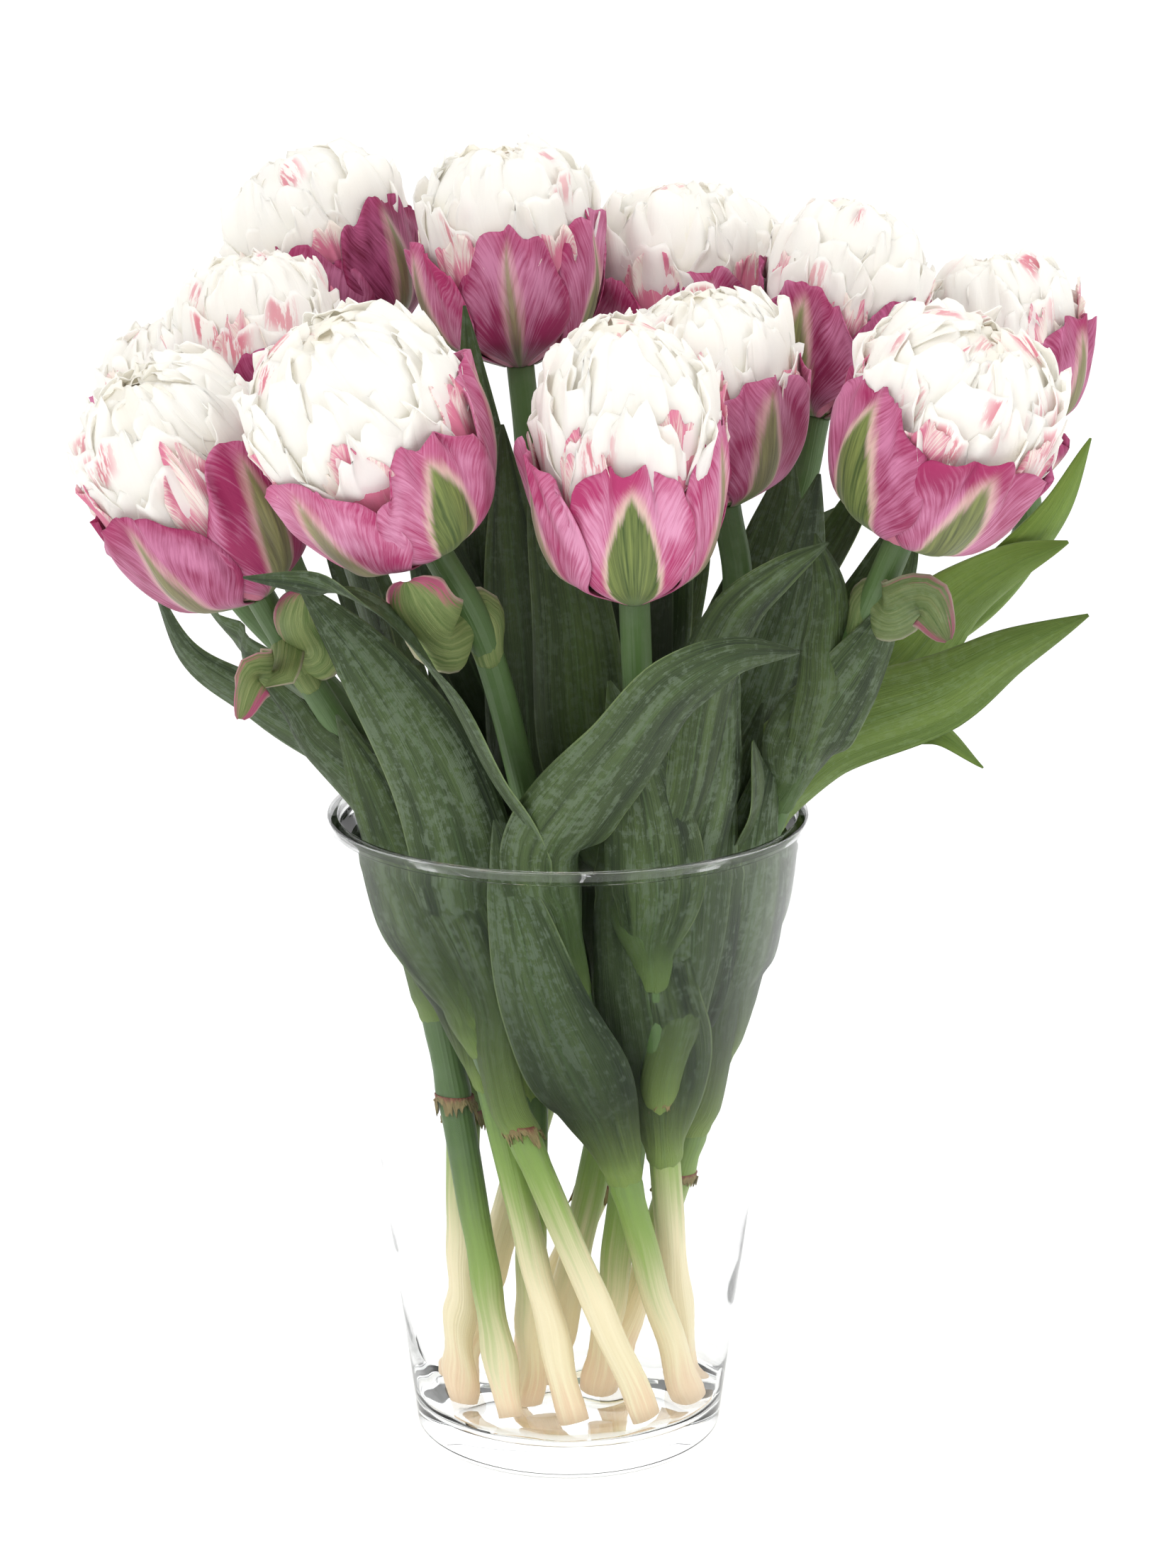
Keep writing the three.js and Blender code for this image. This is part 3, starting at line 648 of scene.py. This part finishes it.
def clear_finish(name, ior, tint, gleam, plain=0.0):
    """Clear glass or water. gleam dims what it mirrors straight on. Rays from lamps and soft light
    pass straight through it, and so does the share plain of all others."""
    f = Finish(name)
    glass = f.node("BsdfPrincipled", {
        "Base Color": tint, "Roughness": 0.0, "IOR": ior, "Transmission Weight": 1.0,
        "Specular Tint": (gleam, gleam, gleam)})
    clear = f.node("BsdfTransparent", {"Color": (0.99, 0.995, 0.993)})
    lamp, soft = f.node("LightPath", None, 1), f.node("LightPath", None, 2)
    return f.end(f.node("MixShader", {0: lamp.most(soft).most(plain), 1: glass, 2: clear}))


GUARD, WHITE, LEAF = guard_finish(), white_finish(), leaf_finish()
STEM, COLLAR = stem_finish(), collar_finish()
GLASSES = [  # of the wall, the rim and the foot, in the order that vase_piece counts them
    clear_finish("vase_glass_wall", GLASS_INDEX, (0.994, 0.999, 0.999), 0.0),
    clear_finish("vase_glass_rim", GLASS_INDEX, (0.994, 0.999, 0.999), 1.0, 0.35),
    clear_finish("vase_glass_foot", GLASS_INDEX, (0.985, 0.996, 0.999), 1.0),
]
WATER = clear_finish("water_clear", WATER_INDEX, (0.996, 1.0, 0.998), 0.0)

# -------- vase and water


def outer_radius(z):
    """Radius of the glass's outside at the height z."""
    return FOOT_RADIUS + (RIM_RADIUS - FOOT_RADIUS) * z / VASE_HEIGHT


def inner_radius(z):
    """Radius of its inside."""
    return outer_radius(z) - lerp(FOOT_WALL, RIM_WALL, z / VASE_HEIGHT)


def arc(centre, radius, start, end, count):
    """Points (radius, height) on an arc, from the angle start to end in degrees."""
    turn = np.radians(np.linspace(start, end, count))
    return centre + radius * np.stack([np.cos(turn), np.sin(turn)], -1)


def vase_piece():
    """The glass: a rounded foot, a straight cone, a thin bead at the rim, and an inside whose wall
    swells and thins a little towards the foot, as pressed glass does. The faces above the wall take
    the rim's glass, and those low down the foot's."""
    bead, turn_in = VASE_HEIGHT - BEAD, VASE_FLOOR + CORNER
    up = np.linspace(10, bead, 30)
    down = np.linspace(bead, turn_in + 1, 60)
    profile = np.concatenate([
        [(0, 1.6), (30, 1.2), (46, 0.3), (50, 0)],
        arc((outer_radius(CORNER) - CORNER, CORNER), CORNER, -75, -8, 8),
        np.stack([outer_radius(up), up], -1),
        arc((RIM_RADIUS - 0.2, VASE_HEIGHT - RIM_ROUND), RIM_ROUND, -20, 85, 8),
        arc((RIM_RADIUS - 2.2, VASE_HEIGHT - RIM_ROUND), RIM_ROUND, 95, 195, 8),
        np.stack([inner_radius(down), down], -1),
        arc((inner_radius(turn_in) - CORNER, turn_in), CORNER, -8, -84, CORNER_POINTS),
        [(30, VASE_FLOOR + 0.5), (0, VASE_FLOOR + 0.3)],
    ])

    def swell(turn, height, radius):
        inside = np.zeros(len(profile) - 2)
        inside[-(len(down) + CORNER_POINTS + 1):-1] = 1
        low = 1 - smooth(20, 130, height)
        wave = (np.sin(3 * turn + height / 14) + 0.8 * np.sin(7 * turn - height / 9)
                + 0.5 * np.sin(12 * turn + height / 5))
        return inside[:, None] * low * smooth(20, 40, radius) * 0.3 * (wave - 1.2)

    piece = Piece("vase_glass")
    piece.add(turned(profile, ROUND, swell))
    height = profile[1:-1, 1]
    part = np.where(height > bead - 0.1, 1, np.where(height < FOOT_TOP, 2, 0))
    piece.slots[0] = np.repeat(np.minimum(part[1:], part[:-1]), ROUND)
    piece.build(GLASSES, "vase_glass", "vase")


def water_piece():
    """The water fills the vase up to its level, and climbs the glass by a hair at its edge."""
    turn_in = VASE_FLOOR + CORNER
    up = np.linspace(turn_in, WATER_LEVEL + 1.2, 50)
    edge = inner_radius(WATER_LEVEL)
    profile = np.concatenate([
        [(0, VASE_FLOOR + 0.2), (30, VASE_FLOOR + 0.4)],
        arc((inner_radius(turn_in) - (CORNER - 0.1), turn_in), CORNER, -84, -8, CORNER_POINTS),
        np.stack([inner_radius(up) + 0.15, up], -1),
        [(edge - 0.8, WATER_LEVEL + 0.5), (edge - 2.5, WATER_LEVEL), (edge - 30, WATER_LEVEL),
         (0, WATER_LEVEL)],
    ])
    piece = Piece("water_body")
    piece.add(turned(profile, ROUND))
    piece.build([WATER], "water", "water")


# -------- stems and leaves


def bloom_axis(tulip):
    """The bloom's direction, of length 1."""
    return unit(np.array(tulip["lean"], float))


def bloom_length(tulip):
    return np.linalg.norm(tulip["lean"])


def stem_points(tulip):
    """The points that a stem runs through, from its foot up."""
    bloom = np.array(tulip["bloom"], float)
    return [(*tulip["foot"], STEM_FOOT), (*tulip["rim"], VASE_HEIGHT), *tulip.get("bend", []),
            bloom - bloom_axis(tulip) * NECK, bloom]


def stem_at(tulip, height):
    """The point of the stem at each of the heights."""
    line = spline(stem_points(tulip), np.linspace(0, 1, 400))
    return np.stack([np.interp(height, line[:, 2], line[:, k]) for k in range(3)], -1)


def leaf_surface(tulip, leaf, rng):
    """A channelled blade. Its cross-section is an arc that wraps the stem at the root and opens
    towards the tip. Where the midrib runs along the stem, the blade is moved out in front of it.
    The edges wave, and the blade narrows to its point."""
    long = len(leaf["via"]) > 3
    u, v = grid(*LONG_LEAF if long else SHORT_LEAF)
    t = u[:, 0]
    root, rise = stem_at(tulip, [leaf["start"], leaf["start"] + 14])
    midrib = [root, rise, *leaf["via"]]
    centre = spline(midrib, t)
    along = unit(np.gradient(centre, axis=0))
    turn = math.radians(leaf["face"])
    beside = unit(np.cross(along, [math.cos(turn), math.sin(turn), 0]))
    out = np.cross(beside, along)
    half = leaf["width"] / 2
    spread = (0.22 + 0.78 * smooth(0.04, 0.5, t)) * (1 - 0.97 * t**3.2)
    bract = leaf["pink"]
    spread = lerp(spread, 1.1 * (0.3 + 0.7 * smooth(0, 0.3, t)) * np.sqrt(1 - 0.97 * t**5), bract)
    clasp = 1 - smooth(0.02, 0.3 if long else 0.4, t)
    wrap = STEM_RADIUS - 0.5 + 1.3 * smooth(0, 0.05, t) + 1.8 * smooth(0.04, 0.25, t)
    bend = lerp(lerp(1.1, 0.45 + 0.7 * bract, smooth(0, 0.6, t)), 2.5, clasp)[:, None]
    reach = lerp(half * spread, 2.5 * wrap, clasp * (1 if long else 0.7))[:, None]
    x = reach * np.sin(bend * v) / bend
    y = reach * (np.cos(bend * v) - 1) / bend
    wave = 0.09 * np.sin(11 * u + 1.6 * v + leaf["start"]) * smooth(0.25, 0.5, u)
    frill = 0.05 * ripple(rng, u, v * 0.2, 4) * smooth(0.2, 0.5, u)
    y = y + (wave + frill) * half * spread[:, None] * v * v
    offset = centre - stem_at(tulip, centre[:, 2])
    ahead = (offset * out).sum(1) + clasp * (wrap - 0.3)
    clear = np.maximum(0, STEM_RADIUS + LEAF_GAP - ahead) * smooth(-5, 0, ahead)
    clear = clear * smooth(0.03, 0.15, t)
    clear = clear * (1 - smooth(7, 12, np.abs((offset * beside).sum(1)))) * (1 - bract)
    y = y + (clasp * (wrap - 0.3) + clear)[:, None]
    y = y + 0.25 * ripple(rng, v, u * 0.3, 3) * (1 - u)
    points = centre[:, None] + beside[:, None] * x[..., None] + out[:, None] * y[..., None]
    thick = lerp(1.0, 0.45, np.abs(v) ** 2) * lerp(1, 0.6, u)
    return shell(points, thick)


def stem_piece(name, tulip, rng):
    """A stem that swells a little where leaves grow out, with its leaves, and the ragged collar of
    an old leaf."""
    piece = Piece(f"leafy_stem_{name}")
    rows, columns = STEM_GRID
    centre = spline(stem_points(tulip), np.linspace(0, 1, rows))
    height, turn = centre[:, 2:], clockwise(columns)[None]
    radius = STEM_RADIUS + 0.10 * np.sin(3 * turn + height / 40) + 0.12 * np.sin(height / 17)
    knots = [leaf["start"] for leaf in tulip["leaves"] if leaf["start"] < KNOTS_BELOW]
    collar = tulip.get("collar")
    for knot in knots + ([collar] if collar else []):
        radius = radius + 0.7 * np.exp(-(((height - knot) / 4) ** 2))
    radius = radius * (1 - 0.12 * smooth(VASE_FLOOR + 12, VASE_FLOOR, height))
    piece.add(tube(centre, radius), 0, tone=rng.random(), shade=tulip["pale"] * MM)
    for leaf in tulip["leaves"] + tulip.get("crowd", []):
        piece.add(leaf_surface(tulip, leaf, rng), 1, tone=rng.random(), depth=leaf["pink"],
                  shade=leaf["lit"])
    if collar:
        piece.add(collar_surface(tulip, collar, rng), 2, tone=rng.random())
    piece.build([STEM, LEAF, COLLAR], "stem_and_leaf", f"stem_{name}")


def collar_surface(tulip, height, rng):
    """A short torn cuff about the stem: its lower edge is cut into teeth of drawn lengths, which
    hang a little clear of the stem."""
    u, v = grid(*COLLAR_GRID)
    turn = math.pi * v * 0.985
    teeth = 4.5 + 2.2 * ripple(rng, v, 0 * v, 3) + 1.6 * ripple(rng, v, 0 * v, 14)
    drop = u * np.clip(teeth, 1.2, 11)
    centre = stem_at(tulip, (height - drop).ravel()).reshape(*u.shape, 3)
    radius = STEM_RADIUS + 0.75 + 1.0 * u**2 + 0.35 * u * ripple(rng, v, u, 9)
    ring = np.stack([radius * np.cos(turn), -radius * np.sin(turn), 0 * u], -1)
    return shell(centre + ring, lerp(0.9, 0.35, u))


# -------- blooms


def barrel(s):
    """Radius of the barrel of petals at a share of its length, as a share of its widest."""
    return np.sqrt(np.clip(1 - (np.abs(s - 0.56) / 0.59) ** 2.3, 0, None))


def cup(tulip, s):
    """The barrel's radius in millimetres, drawn in to the stem at its foot."""
    full = tulip["radius"] * barrel(np.minimum(s, 0.97))
    start = np.sqrt(1 - (1 - np.clip(s / 0.15, 0, 1)) ** 2)
    return lerp(CUP_FOOT, full, start)


def stand(tulip):
    """The matrix that turns +Z to the bloom's direction after its own turn about it."""
    a = bloom_axis(tulip)
    cross = np.array([[0, 0, a[0]], [0, 0, a[1]], [-a[0], -a[1], 0]])
    tilt = np.eye(3) + cross + cross @ cross / (1 + a[2])
    c, s = math.cos(math.radians(tulip["spin"])), math.sin(math.radians(tulip["spin"]))
    return tilt @ np.array([[c, -s, 0], [s, c, 0], [0, 0, 1]])


def placed(points, tulip):
    """Points of a bloom that stands upright at the origin, moved to where the bloom is."""
    return points @ stand(tulip).T + np.array(tulip["bloom"], float)


def solid_heart(tulip, radius, height):
    """A round body inside the petals, from its radius at each height."""
    points = np.stack([radius, height], -1)
    body = turned(np.vstack([[0, height[0]], points, [0, height[-1]]]), HEART_COLUMNS)
    body["points"] = placed(body["points"], tulip)
    return body


def outer_petal(tulip, rng, at, half, high, lift, curl, frill, late, notch, point, thick):
    """A petal laid on the barrel, from its foot to the share high of the bloom's length, over the
    angles at-half to at+half. It stands lift off the barrel. curl bends its top out (or in, below
    0), frill waves its rim, the nearer to the rim the greater late is, notch tears its top edge,
    and point narrows its tip. A low keel runs up its middle."""
    u, v = grid(*OUTER_GRID)
    top = high * (1 - (0.08 + 0.42 * point) * np.abs(v) ** lerp(2.4, 1.5, point))
    tears = ripple(rng, v, 0 * v, 1.6) + 0.8 * np.abs(ripple(rng, v, 0 * v, 5))
    length = bloom_length(tulip)
    s = 0.005 + (top - 0.005) * u + notch * u**3 * tears / length
    wide = (0.45 + 0.55 * smooth(-0.1, 0.55, u)) * (1 - (0.10 + 0.35 * point) * u**4)
    angle = at + half * v * wide + frill * 0.08 * u**2 * ripple(rng, v, u, 1.4)
    wave = ripple(rng, v, u * 0.4, 1.1) + 0.5 * ripple(rng, v, u, 2.6)
    bulge = 0.035 * np.exp(-((v / 0.16) ** 2)) - 0.03 * np.exp(-(((np.abs(v) - 0.42) / 0.22) ** 2))
    r = cup(tulip, s) + lift * smooth(0, 0.25, u)
    r = r + tulip["radius"] * (curl * u**max(5, late + 2) + frill * 0.10 * u**late * wave
                               + 2.2 / late * bulge * np.sin(math.pi * np.minimum(u, 0.9)) ** 0.7)
    r = r + tulip["radius"] * 0.010 * ripple(rng, v, u, 2.2, 6) * smooth(0.1, 0.5, u)
    h = length * s + frill * 2.0 * u**3 * ripple(rng, v, u * 0.3, 1.8)
    points = placed(np.stack([r * np.cos(angle), r * np.sin(angle), h], -1), tulip)
    return shell(points, thick * lerp(1, 0.45, np.abs(v) ** 3) * lerp(1.15, 0.6, u))


def outer_piece(name, tulip, rng):
    """The outer petals, by turns inside and outside their neighbours, with a pink-and-white layer
    that shows between them, and the green swelling that they grow from."""
    piece = Piece(f"guard_petals_{name}")
    s = np.linspace(0.0, 0.13, 8)
    base = solid_heart(tulip, cup(tulip, s) * 0.92, s * bloom_length(tulip))
    piece.add(base, tone=0.5, depth=0.3, shade=1.0)
    for i in range(GUARDS):
        outside = 1 if i % 2 else (i // (GUARDS - 1)) / 2
        dark = np.clip(tulip["dark"] + rng.uniform(-0.25, 0.25), 0, 1)
        green = max(0.05, tulip["green"] + rng.uniform(-0.35, 0.2))
        green = tulip.get("flame", {}).get(i, green)
        high = 0.64 - 0.06 * outside + rng.uniform(-0.04, 0.03) + tulip.get("tall", {}).get(i, 0)
        body = outer_petal(
            tulip, rng, at=2 * math.pi * i / GUARDS, half=0.72 + 0.08 * outside, high=high,
            lift=1.1 + 2.4 * outside, curl=rng.uniform(-0.03, 0.06), frill=0.55, late=2.2,
            notch=1.3, point=rng.uniform(0.15, 0.7), thick=1.0)
        piece.add(body, tone=rng.random(), depth=dark, shade=green)
    for i in range(GUARDS):
        body = outer_petal(
            tulip, rng, at=2 * math.pi * (i + rng.uniform(0.35, 0.65)) / GUARDS, half=0.38,
            high=rng.uniform(0.58, 0.76), lift=-1.0, curl=rng.uniform(0.04, 0.09), frill=0.3,
            late=6, notch=2.2, point=0.3, thick=0.7)
        piece.add(body, tone=rng.random(), depth=0.0, shade=-1.0)
    piece.build([GUARD], "outer_petal", f"outer_petals_{name}")


# Layers of white petals from the outside in: how many, the angle from the bloom's axis of their
# roots, of their lowest and of their highest tips, half width as an angle, reach, flare, frill.
WHITE_LAYERS = [
    (5, 2.5, 1.38, 1.10, 0.74, 0.985, 0.030, 0.85),
    (5, 2.2, 1.10, 0.86, 0.72, 0.965, 0.025, 0.9),
    (5, 1.9, 0.88, 0.64, 0.68, 0.950, 0.020, 0.9),
    (5, 1.7, 0.70, 0.46, 0.62, 0.930, 0.015, 0.85),
    (5, 1.5, 0.54, 0.30, 0.56, 0.910, 0.015, 0.8),
    (5, 1.4, 0.42, 0.14, 0.52, 0.895, 0.020, 0.7),
    (4, 1.3, 0.26, 0.02, 0.54, 0.880, 0.020, 0.6),
    (3, 1.2, 0.10, -0.15, 0.60, 0.865, 0.015, 0.5),
]


def dome(tulip, way, reach):
    """Points of the white dome in the directions way, unit vectors of an upright bloom. The dome is
    an ellipsoid with squarer shoulders: a direction with level part rho and upright part z meets it
    at q = (rho^n + |z|^n)^(-1/n) of the ellipsoid's radii. reach draws it in about its middle. It
    is slimmer below, where the outer petals stand round it."""
    rho, z = np.hypot(way[..., 0], way[..., 1]), way[..., 2]
    q = reach * (rho**SQUARE + np.abs(z) ** SQUARE) ** (-1 / SQUARE)
    wide = tulip["radius"] * lerp(1, 0.92, smooth(0.05, 0.45, -z)) * q
    tall = bloom_length(tulip) * np.where(z > 0, DOME_TOP - DOME_MIDDLE, DOME_MIDDLE) * q
    return np.stack([wide * way[..., 0], wide * way[..., 1],
                     bloom_length(tulip) * DOME_MIDDLE + tall * z], -1)


def white_petal(tulip, rng, lumps, around, root, tip, half, reach, flare, frill):
    """A broad petal that hugs the dome. root and tip are its angles from the bloom's axis, and half
    is its half width as an angle, the same all the way up, so that it doesn't narrow towards the
    top as a melon's slice does. Its tip is round and torn in gentle waves, its sides cup in or out,
    and its rim flares. lumps holds the slopes and phases of broad waves over the whole dome."""
    u, v = grid(*WHITE_GRID)
    torn = 0.5 * ripple(rng, v, 0 * v, 0.7) + 0.45 * ripple(rng, v, 0 * v, 2.6)
    polar = lerp(root, tip + half * (0.62 * np.abs(v) ** 2.2 + 0.18 * frill * torn), u)
    side = half * v * (0.5 + 0.5 * smooth(0, 0.5, u)) * (1 - 0.18 * u**4)
    side = side + 0.05 * frill * u**2 * ripple(rng, v, u, 1.0)
    level, cross = np.cos(side) * np.sin(polar), np.sin(side)
    c, s = math.cos(around), math.sin(around)
    way = np.stack([level * c - cross * s, level * s + cross * c,
                    np.cos(side) * np.cos(polar)], -1)
    slopes, phases = lumps
    free = smooth(-0.45, 0.2, way[..., 2])
    wave = 1.3 * ripple(rng, v, u * 0.4, 0.7) + 0.9 * ripple(rng, v, u * 0.5, 2.0)
    swell = 0.10 * np.sin(way @ slopes + phases).mean(-1) + flare * u**4
    swell = swell + 0.055 * frill * wave * u**2.2 + rng.uniform(-0.04, 0.06) * v * v * u**1.5
    reach = reach - 0.03 * (1 - free) + swell * free
    points = placed(dome(tulip, way, reach), tulip)
    return shell(points, 0.7 * lerp(1, 0.5, np.abs(v) ** 3) * lerp(1.1, 0.6, u))


def white_piece(name, tulip, rng):
    """The crowded white petals, layer inside layer, over a rounded heart."""
    piece = Piece(f"white_petals_{name}_fine")
    polar = np.linspace(2.4, 0.1, 16)
    heart = dome(tulip, np.stack([np.sin(polar), 0 * polar, np.cos(polar)], -1), HEART_REACH)
    # depth, from 0 on the outer layer to 1 on the heart, sets how much painted shade the white
    # finish gives.
    piece.add(solid_heart(tulip, heart[:, 0], heart[:, 2]), tone=0.2, depth=1.0)
    lumps = rng.normal(size=(3, 6)) * 1.6, rng.uniform(0, 2 * math.pi, 6)
    for k, (count, root, low, high, half, reach, flare, frill) in enumerate(WHITE_LAYERS):
        begin = rng.uniform(0, 2 * math.pi)
        for i in range(count):
            around = begin + 2 * math.pi * (i + rng.uniform(-0.2, 0.2)) / count
            fleck = float(rng.random() < tulip["fleck"]) * rng.uniform(0.5, 1)
            body = white_petal(tulip, rng, lumps, around, root, rng.uniform(high, low),
                               half * rng.uniform(0.85, 1.15), reach + 0.012 * (-1) ** i,
                               flare + rng.uniform(-0.02, 0.04), frill)
            piece.add(body, tone=rng.random(), depth=k / len(WHITE_LAYERS), shade=fleck)
    piece.build([WHITE], "white_petal", f"white_petals_{name}")


vase_piece()
water_piece()
for number, (name, tulip) in enumerate(TULIPS.items()):
    stem_piece(name, tulip, np.random.default_rng(100 + number))
    outer_piece(name, tulip, np.random.default_rng(200 + number))
    white_piece(name, tulip, np.random.default_rng(300 + number))

# -------- studio

FLOOR_REACH, FLOOR_HEIGHT = 9, -0.0005
CAMERA_PLACE = 0.0076, -1.731, 0.717
CAMERA_DROP = 14.8  # degrees that the camera looks down
FOCUS_PIXELS, FRAME_PIXELS = 6690, 2212  # the lens, from the camera fitted to the photograph
SENSOR = 36


def studio():
    """A pale floor, a soft white sky that darkens a little low down at both sides, two large soft
    lamps, and the camera at the photograph's angle."""
    floor = bpy.data.meshes.new("floor")
    corners = [(x * FLOOR_REACH, y * FLOOR_REACH, FLOOR_HEIGHT)
               for x, y in ((-1, -1), (1, -1), (1, 1), (-1, 1))]
    floor.from_pydata(corners, [], [(0, 1, 2, 3)])
    paper = Finish("floor_paper").surface((0.97, 0.97, 0.97), Roughness=0.9,
                                          Specular_IOR_Level=0.1)
    floor.materials.append(paper)
    ground = put("floor", floor)

    sky = Finish("sky", "worlds")
    way = sky.node("TexCoord")
    x, y, z = (sky.part(way, k) for k in range(3))
    color = sky.mix(y.step(-0.4, 0.5), (0.92, 0.92, 0.93), (1.36, 1.36, 1.36))
    flag = abs(x).step(0.60, 0.85) * (1 - z.step(0.02, 0.12))
    color = sky.mix(flag, color, (0.02, 0.06, 0.10))
    light = sky.node("Background", {"Color": color, "Strength": 1.0})
    bpy.context.scene.world = sky.end(light, "OutputWorld")

    aim = (0, 0, 0.3)
    for title, place, power, size in (
        ("lamp_front", (-1.3, -1.9, 1.9), 26, 1.6),
        ("lamp_right", (1.9, -0.9, 1.5), 14, 1.4),
    ):
        lamp = bpy.data.lights.new(title, "AREA")
        lamp.shape, lamp.size, lamp.energy = "DISK", size, power
        thing = put(title, lamp)
        thing.location = place
        away = Vector(place) - Vector(aim)
        thing.rotation_euler = away.to_track_quat("Z", "Y").to_euler()

    lens = bpy.data.cameras.new("camera")
    lens.sensor_fit, lens.sensor_height, lens.sensor_width = "AUTO", SENSOR, SENSOR
    lens.lens = SENSOR * FOCUS_PIXELS / FRAME_PIXELS
    lens.clip_start, lens.clip_end = 0.1, 60
    camera = put("camera", lens)
    camera.location = CAMERA_PLACE
    camera.rotation_euler = (math.radians(90 - CAMERA_DROP), 0, 0)

    scene = bpy.context.scene
    scene.camera = camera
    scene.view_settings.view_transform = "Standard"
    scene.view_settings.look = "None"
    scene.cycles.max_bounces = 20
    scene.cycles.transmission_bounces = 12
    scene.cycles.transparent_max_bounces = 16
    scene.cycles.diffuse_bounces = 9
    scene.cycles.sample_clamp_indirect = 6


studio()
